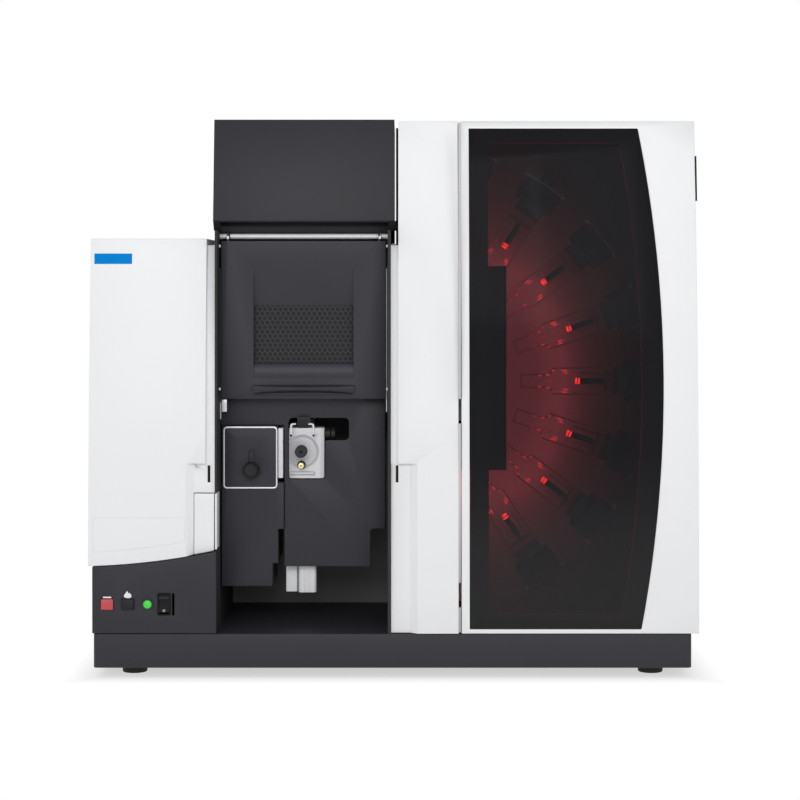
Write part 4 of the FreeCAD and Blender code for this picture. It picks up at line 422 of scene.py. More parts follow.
def eased(name, bevel, segments=2, front=None):
    """Shows a copy of a solid with its sharp edges rounded off, cut off at a depth if one is given."""
    mesh = nodes[name].data.copy()
    form = bmesh.new()
    form.from_mesh(mesh)
    bmesh.ops.remove_doubles(form, verts=form.verts, dist=MERGE)
    bmesh.ops.dissolve_limit(form, angle_limit=FLAT, verts=form.verts, edges=form.edges)
    if front is not None:
        cut_away(form, (0, front, 0), -BACK)
    form.to_mesh(mesh)
    form.free()
    body = body_of(nodes[name])[0]
    return shown(name + "_eased", mesh, look_of(name), body, (name,), bevel, segments)


# Forms in mesh code, in millimetres

class Form:
    """A mesh built from prisms, turned profiles, tubes and strips."""

    def __init__(self):
        self.mesh = bmesh.new()

    def verts(self, points):
        return [self.mesh.verts.new(Vector(point) * MM) for point in points]

    def bridge(self, first, second):
        count = len(first)
        for n in range(count):
            after = (n + 1) % count
            self.mesh.faces.new((first[n], first[after], second[after], second[n]))

    def join(self, rings):
        """Faces between rings in a row, where a ring of one point is a pole."""
        for first, second in zip(rings, rings[1:]):
            if len(first) == 1 or len(second) == 1:
                pole, rim = (first[0], second) if len(first) == 1 else (second[0], first)
                for here, after in zip(rim, rim[1:] + rim[:1]):
                    self.mesh.faces.new((pole, here, after))
            else:
                self.bridge(first, second)

    def ring(self, centre, across, up, radius, sides):
        turns = [2 * math.pi * n / sides for n in range(sides)]
        return self.verts([centre + (across * math.cos(t) + up * math.sin(t)) * radius for t in turns])

    def prism(self, points, reach):
        """Extrudes a closed outline by the vector reach."""
        first = self.verts(points)
        second = self.verts([Vector(point) + Vector(reach) for point in points])
        self.bridge(first, second)
        self.mesh.faces.new(first)
        self.mesh.faces.new(second)
        return self

    def plate(self, outline, y, thick):
        """A flat plate that faces the front at a depth; its outline is (across, up)."""
        return self.prism([(across, y, up) for across, up in outline], (0, thick, 0))

    def bar(self, outline, left, right):
        """A bar from left to right; its outline is (depth, up)."""
        return self.prism([(left, depth, up) for depth, up in outline], (right - left, 0, 0))

    def box(self, low, high):
        low, high = Vector(low), Vector(high)
        foot = [(low.x, low.y), (high.x, low.y), (high.x, high.y), (low.x, high.y)]
        return self.prism([(x, y, low.z) for x, y in foot], (0, 0, high.z - low.z))

    def turned(self, profile, sides, start=ORIGIN, axis=RIGHT):
        """Revolves (distance along the axis, radius) about the axis from start."""
        across = axis.orthogonal().normalized()
        up = axis.cross(across)
        rings = []
        for along, radius in profile:
            centre = Vector(start) + axis * along
            rings.append(self.ring(centre, across, up, radius, sides) if radius else self.verts([centre]))
        self.join(rings)
        return self

    def disc(self, near, far, radius, sides, start=ORIGIN, axis=RIGHT):
        return self.turned([(near, 0), (near, radius), (far, radius), (far, 0)], sides, start, axis)

    def tube(self, path, radius, sides):
        """A round bar along a path of points, closed at both ends."""
        path = [Vector(point) for point in path]
        across = (path[1] - path[0]).normalized().orthogonal().normalized()
        rings = []
        for n, point in enumerate(path):
            ahead = (path[min(n + 1, len(path) - 1)] - path[max(n - 1, 0)]).normalized()
            across = (across - ahead * across.dot(ahead)).normalized()
            rings.append(self.ring(point, across, ahead.cross(across), radius, sides))
        self.join(rings)
        self.mesh.faces.new(rings[0])
        self.mesh.faces.new(rings[-1])
        return self

    def done(self, name):
        bmesh.ops.recalc_face_normals(self.mesh, faces=self.mesh.faces)
        mesh = bpy.data.meshes.new(name)
        self.mesh.to_mesh(mesh)
        self.mesh.free()
        return mesh

    def shown(self, name, look, body, slot, *replaced, bevel=0.0, segments=2, angle=32):
        return shown(name, self.done(name), look, body, replaced, bevel, segments, angle)


def rounded(left, low, right, high, radius, steps=6):
    """Points of a rectangle with round corners, as (across, up)."""
    points = []
    middles = [(right - radius, high - radius), (left + radius, high - radius),
               (left + radius, low + radius), (right - radius, low + radius)]
    for corner, (across, up) in enumerate(middles):
        for n in range(steps + 1):
            turn = math.pi / 2 * (corner + n / steps)
            points.append((across + radius * math.cos(turn), up + radius * math.sin(turn)))
    return points


# Geometry Nodes for what repeats

class Nodes:
    """A Geometry Nodes tree with named inputs."""

    def __init__(self, name, **inputs):
        self.tree = bpy.data.node_groups.new(name, "GeometryNodeTree")
        self.tree.interface.new_socket("Geometry", in_out="OUTPUT", socket_type="NodeSocketGeometry")
        for label, kind in inputs.items():
            self.tree.interface.new_socket(label, in_out="INPUT", socket_type="NodeSocket" + kind)
        self.given = self.tree.nodes.new("NodeGroupInput").outputs
        self.result = self.tree.nodes.new("NodeGroupOutput")

    def node(self, kind, inputs, **settings):
        made = self.tree.nodes.new(kind)
        for key, value in settings.items():
            setattr(made, key, value)
        for key, value in inputs.items():
            if isinstance(value, bpy.types.NodeSocket):
                self.tree.links.new(value, made.inputs[key])
            else:
                made.inputs[key].default_value = value
        return made.outputs[0]

    def geometry(self, kind, inputs, **settings):
        return self.node("GeometryNode" + kind, inputs, **settings)

    def math(self, operation, *values):
        return self.node("ShaderNodeMath", dict(enumerate(values)), operation=operation)

    def part(self, thing):
        made = self.tree.nodes.new("GeometryNodeObjectInfo")
        self.tree.links.new(thing, made.inputs["Object"])
        return made.outputs["Geometry"]

    def close(self, geometry, look):
        whole = self.geometry("RealizeInstances", {"Geometry": geometry})
        whole = self.geometry("SetMaterial", {"Geometry": whole, "Material": look})
        self.tree.links.new(whole, self.result.inputs[0])
        return self.tree


def make_round_tree():
    """Copies of a part at equal steps about an axis."""
    tree = Nodes("copies_round_an_axis", Part="Object", Count="Int", First="Float", Step="Float",
                 Axis="Vector", Centre="Vector", Look="Material")
    points = tree.geometry("MeshLine", {"Count": tree.given["Count"], "Offset": (0, 0, 0)})
    points = tree.geometry("SetPosition", {"Geometry": points, "Position": tree.given["Centre"]})
    index = tree.geometry("InputIndex", {})
    angle = tree.math("MULTIPLY_ADD", index, tree.given["Step"], tree.given["First"])
    turn = tree.node("FunctionNodeAxisAngleToRotation", {"Axis": tree.given["Axis"], "Angle": angle})
    copies = tree.geometry("InstanceOnPoints", {"Points": points, "Instance": tree.part(tree.given["Part"]),
                                                "Rotation": turn})
    return tree.close(copies, tree.given["Look"])


def make_spots_tree():
    """Copies of a part at every point of another mesh."""
    tree = Nodes("copies_at_spots", Part="Object", Spots="Object", Look="Material")
    copies = tree.geometry("InstanceOnPoints", {"Points": tree.part(tree.given["Spots"]),
                                                "Instance": tree.part(tree.given["Part"])})
    return tree.close(copies, tree.given["Look"])


def make_honeycomb_tree():
    """A plate pierced by staggered rows of hexagons that run off its edges."""
    tree = Nodes("honeycomb_plate", Width="Float", Height="Float", Thickness="Float", Pitch="Float",
                 Web="Float", Columns="Int", Pairs="Int", Centre="Vector", Look="Material")
    width, height, thick = tree.given["Width"], tree.given["Height"], tree.given["Thickness"]
    pitch = tree.given["Pitch"]
    size = tree.node("ShaderNodeCombineXYZ", {"X": width, "Y": thick, "Z": height})
    plate = tree.geometry("MeshCube", {"Size": size})
    reach = tree.math("DIVIDE", tree.math("SUBTRACT", pitch, tree.given["Web"]), math.sqrt(3))
    hexagon = tree.geometry("MeshCylinder", {"Vertices": 6, "Radius": reach,
                                             "Depth": tree.math("MULTIPLY", thick, 4.0)})
    hexagon = tree.geometry("Transform", {"Geometry": hexagon,
                                          "Rotation": (math.pi / 2, math.radians(30), 0)})
    rise = tree.math("MULTIPLY", pitch, math.sqrt(3) / 2)
    pairs, columns = tree.given["Pairs"], tree.given["Columns"]
    tall = tree.math("MULTIPLY", tree.math("SUBTRACT", pairs, 1.0), tree.math("MULTIPLY", rise, 2.0))
    cut = tree.tree.nodes.new("GeometryNodeMeshBoolean")
    cut.operation = "DIFFERENCE"
    tree.tree.links.new(plate, cut.inputs["Mesh 1"])
    for extra, side in ((0, 0.5), (1, -0.5)):
        count = tree.math("ADD", columns, float(extra))
        wide = tree.math("MULTIPLY", tree.math("SUBTRACT", count, 1.0), pitch)
        grid = tree.geometry("MeshGrid", {"Size X": wide, "Size Y": tall, "Vertices X": count,
                                          "Vertices Y": pairs})
        shift = tree.node("ShaderNodeCombineXYZ", {"Z": tree.math("MULTIPLY", rise, side)})
        grid = tree.geometry("Transform", {"Geometry": grid, "Rotation": (math.pi / 2, 0, 0),
                                           "Translation": shift})
        holes = tree.geometry("InstanceOnPoints", {"Points": grid, "Instance": hexagon})
        solid = tree.geometry("RealizeInstances", {"Geometry": holes})
        tree.tree.links.new(solid, cut.inputs["Mesh 2"])
    whole = tree.geometry("Transform", {"Geometry": cut.outputs["Mesh"], "Translation": tree.given["Centre"]})
    return tree.close(whole, tree.given["Look"])


round_tree = make_round_tree()
spots_tree = make_spots_tree()
honeycomb_tree = make_honeycomb_tree()


def grown(name, tree, look, body, slot, *replaced, **values):
    """Evaluates a tree into a plain mesh and shows it as a piece."""
    made = placed(name, bpy.data.meshes.new(name))
    modifier = made.modifiers.new("grow", "NODES")
    modifier.node_group = tree
    values["Look"] = look.material
    for item in tree.interface.items_tree:
        if item.in_out == "INPUT" and item.name in values:
            modifier[item.identifier] = values[item.name]
    return shown(name, baked(made), look, body, replaced)


def loose(mesh):
    """An object that only lends its mesh, and is taken away again."""
    return placed("lent", mesh)


def forget(*things):
    for thing in things:
        bpy.data.objects.remove(thing)


def copies_round(name, form, look, body, slot, *replaced, centre, count, step, first=0.0):
    """Copies of a form set about a line that runs from front to back."""
    part = loose(form.done(name))
    made = grown(name, round_tree, look, body, slot, *replaced, Part=part, Count=count, First=first,
                 Step=step, Axis=(0, -1, 0), Centre=tuple(Vector(centre) * MM))
    forget(part)
    return made


def copies_at(name, form, spots, look, body, slot, *replaced):
    part = loose(form.done(name))
    points = bpy.data.meshes.new("spots")
    points.from_pydata([tuple(Vector(spot) * MM) for spot in spots], [], [])
    holder = loose(points)
    made = grown(name, spots_tree, look, body, slot, *replaced, Part=part, Spots=holder)
    forget(part, holder)
    return made


# Solids whose edges are eased, with the width in millimetres

FINELY_EASED = {
    "left_cover": 1.0, "corner_cover": 0.9, "centre_cover": 0.3, "door_frame": 1.2, "tower_cover": 0.8,
    "rear_cover": 0.8, "rear_panel": 0.4, "badge_plate": 0.25,
}
EASED = {
    "base_tray": 1.0, "control_panel": 0.8, "burner_panel": 0.5, "gas_cover": 0.5, "adjuster_frame": 0.4,
    "oxidant_block": 0.8, "door_grip": 0.4, "burner_head": 0.5, "shield_rails": 0.3, "mains_inlet": 0.5,
    "flame_off_button": 0.2, "ignite_button": 0.2, "spray_chamber": 0.5, "door_window": 0.4, "hood": 0.6,
    "rocker_housing": 0.3, "drain_trap": 0.8, "stop_pins": 0.5,
}
SHIELD_FACE = -250


def dress_solids():
    """Gives every node its finish, and shows eased copies of those with sharp edges in view."""
    for name in nodes:
        held = nodes[name].data.materials
        held.clear()
        held.append(look_of(name).material)
    for name, width in FINELY_EASED.items():
        eased(name, width, segments=3)
    for name, width in EASED.items():
        eased(name, width)
    eased("flame_shield", 0.5, front=SHIELD_FACE - 0.02)


# Lamps: each form lies along the x axis, at its distance from the middle of the fan, and is set round it

FAN = Vector((middle_of("mirror_motor").x, middle_of("lamp_envelopes").y, middle_of("mirror_motor").z))
LAMP_COUNT, LIT_LAMPS = 8, 7
LAMP_PITCH, LAMP_FIRST = math.radians(18.8), math.radians(56.4)
TIP, SHOULDER, BODY_START, GLASS_END = 141.6, 179, 188, 268
SNOUT, NECK, BODY, GLASS = 10.0, 9.2, 18.2, 1.2
BASE_END, HOLDER_END, PLUG_END = 283, 316, 328
CATHODE_START, CATHODE_END, CATHODE = 222.7, 252, 3.8
ANODE_OUT = 10.9
BOTH_SIDES = (-1, 1)


def lamps(name, form, look, slot, *replaced, count=LAMP_COUNT):
    return copies_round(name, form, look, "cabinet", slot, *replaced, centre=FAN, count=count,
                        first=-LAMP_FIRST, step=LAMP_PITCH)


def lamp_shoulder(steps):
    """The glass's round shoulder from neck to body, as (along, radius)."""
    points = []
    for n in range(steps + 1):
        share = n / steps
        blend = share * share * (3 - 2 * share)
        points.append((SHOULDER + share * (BODY_START - SHOULDER), NECK + blend * (BODY - NECK)))
    return points


def lamp_glass():
    """Outer side from the window to the base, then the inner side back."""
    outer = [(TIP, SNOUT - 1.5), (TIP + 0.4, SNOUT), (TIP + 2.5, SNOUT), (TIP + 3.2, NECK),
             (SHOULDER - 2, NECK)]
    outer += lamp_shoulder(8) + [(GLASS_END, BODY)]
    inner = [(along, radius - GLASS) for along, radius in outer[3:]]
    return Form().turned([(TIP, 0)] + outer + inner[::-1] + [(TIP + 1.6, SNOUT - 2.2), (TIP + 1.6, 0)], 40)


def lamp_electrodes():
    """The cathode's cup on its stem, the disc before it, and two wires beside it."""
    start, end = CATHODE_START, CATHODE_END
    form = Form().turned([(start, 0), (start, 2.4), (start - 0.6, 2.8), (start - 0.6, 3.5), (start, CATHODE),
                          (end - 1.5, CATHODE), (end, CATHODE - 1.5), (end, 1.2), (GLASS_END, 1.2),
                          (GLASS_END, 0)], 24)
    form.disc(start - 4.6, start - 3.8, 4.6, 24)
    form.tube([(start - 2, 0, ANODE_OUT), (GLASS_END, 0, ANODE_OUT)], 0.8, 10)
    return form.tube([(start + 9, 0, 3 - ANODE_OUT), (GLASS_END, 0, 3 - ANODE_OUT)], 0.5, 8)


def lamp_discharges():
    """Two small lenses of glowing gas before the cathode."""
    form = Form()
    for middle in (CATHODE_START - 2.2, CATHODE_START - 6.1):
        form.turned([(middle - 1.3, 0), (middle - 1.1, 3.4), (middle, 4.4), (middle + 1.1, 3.4),
                     (middle + 1.3, 0)], 24)
    return form


def lamp_glints():
    """Short red reflections in the glass, painted as glowing strokes, as (start, end, distance from the
    middle line).
    """
    form, ahead = Form(), -3
    for side in BOTH_SIDES:
        for start, end, out in ((197, 204, 14.4), (199, 206, 11.0), (166, 169, 7.4), (176, 181, 8.4),
                                (184, 187, 14.0)):
            form.tube([(start, ahead, side * out), (end, ahead, side * (out + 0.4))], 0.5, 6)
    return form.turned([(180, 0), (181, 0.9), (182, 0)], 10, (0, ahead, 0))


def lamp_sides(inward, radius):
    """Lines along both sides of the glass as seen from the front, moved inward by a distance."""
    form = Form()
    points = [(TIP + 0.4, NECK)] + lamp_shoulder(6) + [(GLASS_END - 1, BODY)]
    for side in BOTH_SIDES:
        form.tube([(along, -1, side * (out - inward)) for along, out in points], radius, 6)
    return form


def lamp_painted_outlines():
    """Dark outlines of the glass and of its window: painted shade along the glass's edges."""
    return lamp_sides(0.4, 0.42).tube([(TIP + 1, -1, 1.2 - SNOUT), (TIP + 1, -1, SNOUT - 1.2)], 0.35, 6)


def lamp_discs():
    """The disc that holds the electrodes, and the rim at the glass's end."""
    form = Form().disc(GLASS_END - 12, GLASS_END - 11, BODY - 2, 28)
    return form.disc(GLASS_END, GLASS_END + 3, BODY + 0.6, 36)


def lamp_base():
    return Form().turned([(GLASS_END + 3, 0), (GLASS_END + 3, BODY - 0.5), (GLASS_END + 3.8, BODY),
                          (BASE_END - 3, BODY), (BASE_END - 2.4, BODY - 1.2), (BASE_END, BODY - 1.2),
                          (BASE_END, 0)], 36)


def lamp_holder():
    """A square block with a collar, a plug behind it and a foot that reaches the plate."""
    half, collar = 26, 26.8
    form = Form().bar(rounded(-half, -half, half, half, 4), BASE_END, HOLDER_END - 2)
    form.bar(rounded(-collar, -collar, collar, collar, 4.5), BASE_END + 8, BASE_END + 11)
    form.turned([(HOLDER_END - 2, 0), (HOLDER_END - 2, 9), (PLUG_END - 1, 8), (PLUG_END, 6.5),
                 (PLUG_END, 0)], 24)
    return form.box((BASE_END + 4, half - 1, -11), (HOLDER_END - 4, 40, 11))


def lamp_bar():
    """A retaining bar of sheet steel, bowed away from the holder."""
    half, bow, thick = 31, 1.6, 1.6
    near = [(HOLDER_END - 2.4 + bow * (1 - (z / half) ** 2), z) for z in range(-half, half + 1, 2)]
    outline = near + [(x + thick, z) for x, z in reversed(near)]
    return Form().plate(outline, -8, 16)


def add_lamps():
    lamps("lamp_glass", lamp_glass(), clear_glass, "clear_glass", "lamp_envelopes")
    lamps("lamp_electrode_sets", lamp_electrodes(), lamp_black_and_painted_shade, "aluminium", "lamp_electrodes")
    lamps("lamp_discharges", lamp_discharges(), hot_cathode, "clear_glass", count=LIT_LAMPS)
    lamps("lamp_glints", lamp_glints(), painted_red_glint, "clear_glass", count=LIT_LAMPS)
    lamps("lamp_glass_edges", lamp_painted_outlines(), lamp_black_and_painted_shade, "clear_glass")
    # Red lines of painted glow just inside each glass's sides.
    lamps("lamp_glass_gleams", lamp_sides(1.5, 0.22), painted_red_edge_glow, "clear_glass")
    lamps("lamp_discs", lamp_discs(), gloss_black, "black_plastic")
    lamps("lamp_base_rings", lamp_base(), pale_base, "lamp_base", "lamp_bases")
    lamps("lamp_holder_blocks", lamp_holder(), lamp_black_and_painted_shade, "black_plastic", "lamp_holders")
    lamps("lamp_retaining_bars", lamp_bar(), zinc_steel, "zinc_steel")


# Printed border of the lamp window, on the back of the pane

# Depth of the fronts at their foot, radius of their bulge, and thickness of the pane
FRONT, BULGE, PANE_THICK = -290, 5000, 5.0
WINDOW_CORNER, WINDOW_ARC = 318.6, 1778
CLEAR_LEFT, CLEAR_CORNER, CLEAR_LOW, CLEAR_HIGH = 122.5, 292, 82, 695
ARC_STEPS = 40
pane_low, pane_high = corners_of("door_window")
bulge_foot = corners_of("door_frame")[0].z - 1


def behind_pane(z):
    """Depth of the pane's back at a height, on the bulge that the white fronts share."""
    return FRONT + BULGE - math.sqrt((BULGE - PANE_THICK) ** 2 - (z - bulge_foot) ** 2)


def front_face(z):
    """Depth of the bulged white fronts at a height."""
    return behind_pane(z) - PANE_THICK


def window_right(z, corner_x):
    """Right side of the window or of its clear part, an arc that stands out in the middle."""
    half = (pane_high.z - pane_low.z) / 2
    off = z - (pane_high.z + pane_low.z) / 2
    return corner_x + math.sqrt(WINDOW_ARC ** 2 - off ** 2) - math.sqrt(WINDOW_ARC ** 2 - half ** 2)


def pane_border():
    """A frame-shaped sheet: full rows above and below the clear part, two strips beside it."""
    form, margin = Form(), 0.6
    levels = [pane_low.z + margin, (pane_low.z + CLEAR_LOW) / 2, CLEAR_LOW]
    levels += [CLEAR_LOW + (CLEAR_HIGH - CLEAR_LOW) * n / ARC_STEPS for n in range(1, ARC_STEPS + 1)]
    levels += [(pane_high.z + CLEAR_HIGH) / 2, pane_high.z - margin]
    rows = []
    for z in levels:
        across = (pane_low.x + margin, CLEAR_LEFT, window_right(z, CLEAR_CORNER),
                  window_right(z, WINDOW_CORNER))
        rows.append(form.verts([(x, behind_pane(z), z) for x in across]))
    for n, (low, high) in enumerate(zip(rows, rows[1:])):
        whole = levels[n + 1] <= CLEAR_LOW or levels[n] >= CLEAR_HIGH
        for column in (0, 1, 2) if whole else (0, 2):
            form.mesh.faces.new((low[column], low[column + 1], high[column + 1], high[column]))
    return form


def add_window_border():
    border = loose(pane_border().done("window_border"))
    modifier = border.modifiers.new("thickness", "SOLIDIFY")
    modifier.thickness = 0.3 * MM
    modifier.offset = 1
    shown("window_border", baked(border), border_coat, "lamp_door")
    heights = [CLEAR_HIGH + (CLEAR_LOW - CLEAR_HIGH) * n / ARC_STEPS for n in range(ARC_STEPS + 1)]
    inner = [(CLEAR_LEFT, CLEAR_HIGH)] + [(window_right(z, CLEAR_CORNER), z) for z in heights]
    inner.append((CLEAR_LEFT, CLEAR_LOW))
    # A red line of painted glow along the edge of the clear part.
    edge = Form().tube([(x, behind_pane(z) + 0.9, z) for x, z in inner], 0.45, 6)
    edge.shown("window_border_edge", painted_red_edge_glow, "lamp_door", "dark_panel")


# Flame shield: honeycomb over a dark sheet of painted shade, padded grip with painted shadow lines, ramp of
# the scoop with a painted highlight, bright sleeves at its lugs

mesh_low, mesh_high = corners_of("shield_mesh")
shield_low, shield_high = corners_of("flame_shield")
shield_middle = (shield_low.x + shield_high.x) / 2
MESH_COLUMNS, MESH_PAIRS, MESH_THICK, MESH_WEB = 19, 7, 1.0, 1.0
GRIP_LOW, GRIP_HIGH, GRIP_HALF, GRIP_END, GRIP_ARCH, GRIP_LIP = 366.2, 376.9, 68.8, 5.4, 2.6, 1.2
SCOOP_LOW, SCOOP_HIGH = 384.6, 405.6
SLEEVE_LOW, SLEEVE_WIDE, SEAM = 568.9, 3.2, 0.5


def add_shield_mesh():
    wide, tall = mesh_high.x - mesh_low.x, mesh_high.z - mesh_low.z
    middle = middle_of("shield_mesh")
    middle.y = mesh_low.y + MESH_THICK / 2
    grown("flame_shield_honeycomb", honeycomb_tree, dark_steel_and_painted_highlight, "shield", "mesh", "shield_mesh",
          Width=wide * MM, Height=tall * MM, Thickness=MESH_THICK * MM, Pitch=wide / MESH_COLUMNS * MM,
          Web=MESH_WEB * MM, Columns=MESH_COLUMNS, Pairs=MESH_PAIRS, Centre=tuple(middle * MM))
    # A near-black sheet just behind the honeycomb is painted shade seen through its holes.
    shade_sheet = Form().plate(rounded(mesh_low.x, mesh_low.z, mesh_high.x, mesh_high.z, 0.6),
                          mesh_low.y + MESH_THICK, 0.15)
    shade_sheet.shown("flame_shield_mesh_lining", painted_shade_lining, "shield", "mesh")


def grip_low(share):
    """Lower edge of the grip, which arches up towards its middle."""
    return GRIP_LOW + GRIP_ARCH * (1 - share * share)


def grip_high(share):
    return GRIP_HIGH


def shield_grip():
    """A long lip with round ends, fullest in the middle."""
    form, rows = Form(), []
    steps, turns = 56, [math.pi * k / 16 for k in range(17)]
    full_reach = SHIELD_FACE - shield_low.y
    for n in range(steps + 1):
        share = -math.cos(math.pi * n / steps)
        along = share * GRIP_HALF
        past = max(0.0, abs(along) - (GRIP_HALF - GRIP_END)) / GRIP_END
        full = math.sqrt(max(0.0, 1 - past * past))
        middle, half_tall = (grip_low(share) + GRIP_HIGH) / 2, (GRIP_HIGH - grip_low(share)) / 2
        reach = GRIP_LIP * full + (full_reach - GRIP_LIP) * (1 - share * share) ** 1.5
        if full < 0.01:
            rows.append(form.verts([(shield_middle + along, SHIELD_FACE, middle)]))
            continue
        rows.append(form.verts([(shield_middle + along, SHIELD_FACE - reach * math.sin(turn) ** 0.7,
                                 middle + half_tall * full * math.cos(turn)) for turn in turns]))
    form.join(rows)
    return form


def grip_edge(height, lift):
    """Points along the grip's upper or lower side, a little outside it."""
    shares = [n / 20 for n in range(-19, 20)]
    return [(shield_middle + share * (GRIP_HALF - 1), SHIELD_FACE - 0.1, height(share) + lift)
            for share in shares]


def add_shield_grip():
    shield_grip().shown("flame_shield_grip", charcoal_sheet, "shield", "dark_sheet", angle=50)
    # Black lines along the grip's lower and upper edges are painted shadow.
    shadow_lines = Form().tube(grip_edge(grip_low, -0.5), 0.9, 8).tube(grip_edge(grip_high, 0.2), 0.35, 8)
    shadow_lines.shown("flame_shield_grip_joint", black_lining_and_painted_shadow, "shield", "rubber")


def add_shield_ramp():
    """The scoop's lower face, which rounds over from the mesh into the shield's front."""
    profile, steps = [], 18
    for n in range(steps + 1):
        turn = math.pi / 2 * n / steps
        forward = (mesh_low.y - SHIELD_FACE - 0.2) * math.sin(turn)
        profile.append((mesh_low.y - 0.1 - forward, SCOOP_LOW + (SCOOP_HIGH - SCOOP_LOW) * math.cos(turn)))
    profile += [(SHIELD_FACE + 0.6, SCOOP_LOW), (mesh_low.y + 0.6, SCOOP_HIGH)]
    ramp = Form().bar(profile, mesh_low.x - 0.5, mesh_high.x + 0.5)
    # The ramp's finish carries a painted highlight along its middle.
    ramp.shown("flame_shield_ramp", ramp_painted_highlight_sheet, "shield", "dark_sheet", angle=40)


def add_lug_sleeves():
    """Bright sleeves that wrap the rod, each between two dark seams."""
    rod_low, rod_high = corners_of("shield_rod")
    rod = (rod_low + rod_high) / 2
    radius = (rod_high.z - rod_low.z) / 2 + 0.6
    turns = [math.pi * n / 12 for n in range(13)]
    over = [(rod.y - radius * math.cos(turn), rod.z + radius * math.sin(turn)) for turn in turns]
    outline = [(SHIELD_FACE - 0.3, SLEEVE_LOW), (SHIELD_FACE - 0.3, rod.z)] + over
    outline.append((over[-1][0], SLEEVE_LOW))
    sleeves, seams = Form(), Form()
    for left in (-220.2, -20.8):
        sleeves.bar(outline, left, left + SLEEVE_WIDE)
        for side in (left - SEAM, left + SLEEVE_WIDE):
            seams.bar([(y - 0.15, z) for y, z in outline], side, side + SEAM)
    sleeves.shown("shield_lug_sleeves", bright_steel, "shield", "bright_steel", bevel=0.1)
    seams.shown("shield_lug_seams", black_lining_and_painted_shadow, "shield", "black_plastic")


# Seals, caps and edge strips of the compartment, and a black strip of painted shadow on the baffle

def add_seals():
    column = Form()
    for low, high in ((59, 91), (123, 329), (361, 719)):
        column.box((82.9, -286, low), (86.2, -276, high))
    column.shown("column_edge_seal", grey_seal, "cabinet", "white_cover", bevel=0.4)
    for name, look, slot, bevel, low, high in (
            ("hood_side_seal", black_lining_and_painted_shadow, "rubber", 0.3, (2.0, -215, 563), (5.05, -60, 717)),
            # The black strip on the baffle under the hood's lip is painted shadow.
            ("baffle_fold_seal", black_lining_and_painted_shadow, "dark_sheet", 0.2,
             (-229.4, -234.2, 586.3), (-7.6, -232.6, 596)),
            ("right_channel_lining", white_cover, "white_cover", 0.15,
             (-4.6, -283, 276), (-4.3, -219.2, 561)),
            ("left_channel_lining", white_cover, "white_cover", 0.15,
             (-233.3, -279, 240), (-233.0, -270, 561)),
            ("right_rail_edge", white_cover, "white_cover", 0.15,
             (-11.0, -246.4, 342), (-9.8, -245.9, 530)),
            ("left_rail_foot_plate", bright_steel, "bright_steel", 0.3,
             (-226.6, -246.8, 342), (-220.2, -245.9, 358)),
            ("left_wall_foot_pin", silver_line, "bright_steel", 0.5,
             (-229.4, -247.2, 332), (-227.4, -245.6, 354))):
        Form().box(low, high).shown(name, look, "cabinet", slot, bevel=bevel)
    caps = Form()
    for left, right in ((-236.6, -228.2), (-7.9, 2.6)):
        caps.bar(((-262.3, 592.3), (-250.2, 579.6), (-246, 579.6), (-246, 592.3)), left, right)
    caps.shown("hood_corner_caps", black_lining_and_painted_shadow, "cabinet", "black_plastic", bevel=0.3)


# Feet, and the screws that hold the rear panel

FOOT = 17.5


def add_feet():
    low, high = corners_of("rubber_feet")
    spots = [(x, y, 0) for x in (low.x + FOOT, high.x - FOOT) for y in (low.y + FOOT, high.y - FOOT)]
    foot = Form().turned([(0, 0), (0, 6), (0.8, 6.6), (0.8, 13.5), (0, 14), (0, 15.6), (1.2, 16.2), (9, 16.6),
                          (10.5, FOOT), (12.4, FOOT), (13, FOOT - 0.6), (13, 0)], 48, axis=UP)
    copies_at("moulded_feet", foot, spots, black_rubber, "cabinet", "rubber", "rubber_feet")


def add_rear_screws():
    low, high = corners_of("rear_panel")
    profile = [(0, 3.4), (0.5, 4.4), (1.4, 4.6), (1.4, 0.9), (0.6, 0.9), (0.6, 0)]
    screw = Form().turned(profile, 24, (0, high.y + 1.35, 0), -BACK)
    columns = (low.x + 12, (low.x + high.x) / 2, high.x - 12)
    spots = [(x, 0, z) for x in columns for z in (low.z + 16, high.z - 16)]
    copies_at("rear_panel_screws", screw, spots, zinc_steel, "cabinet", "zinc_steel")


# Spray chamber's front: dish and groove with painted shade, pill groove with a rim of painted shade, knob
# bore and nut hole as black discs of painted shade, nut, drain sleeves, clamp and clip ends

CHAMBER_FRONT = corners_of("spray_chamber")[0].y
CHAMBER_LEFT = -139.2
DISH_X, DISH_Z, DISH = -122.0, 288.6, 22.3
NUT = 4.3
CLAMP_LEFT, CLAMP_RIGHT, CLAMP_LOW, CLAMP_HIGH = -128.6, -111.6, 319.6, 333.6


def dish_part(name, look, *profile):
    """A ring about the dish's middle, cut off at the chamber's left side."""
    form = Form().turned(profile, 64, (DISH_X, CHAMBER_FRONT, DISH_Z), -BACK)
    bmesh.ops.recalc_face_normals(form.mesh, faces=form.mesh.faces)
    cut_away(form.mesh, (CHAMBER_LEFT, 0, 0), -RIGHT)
    form.shown(name, look, "burner", "silver_plastic")


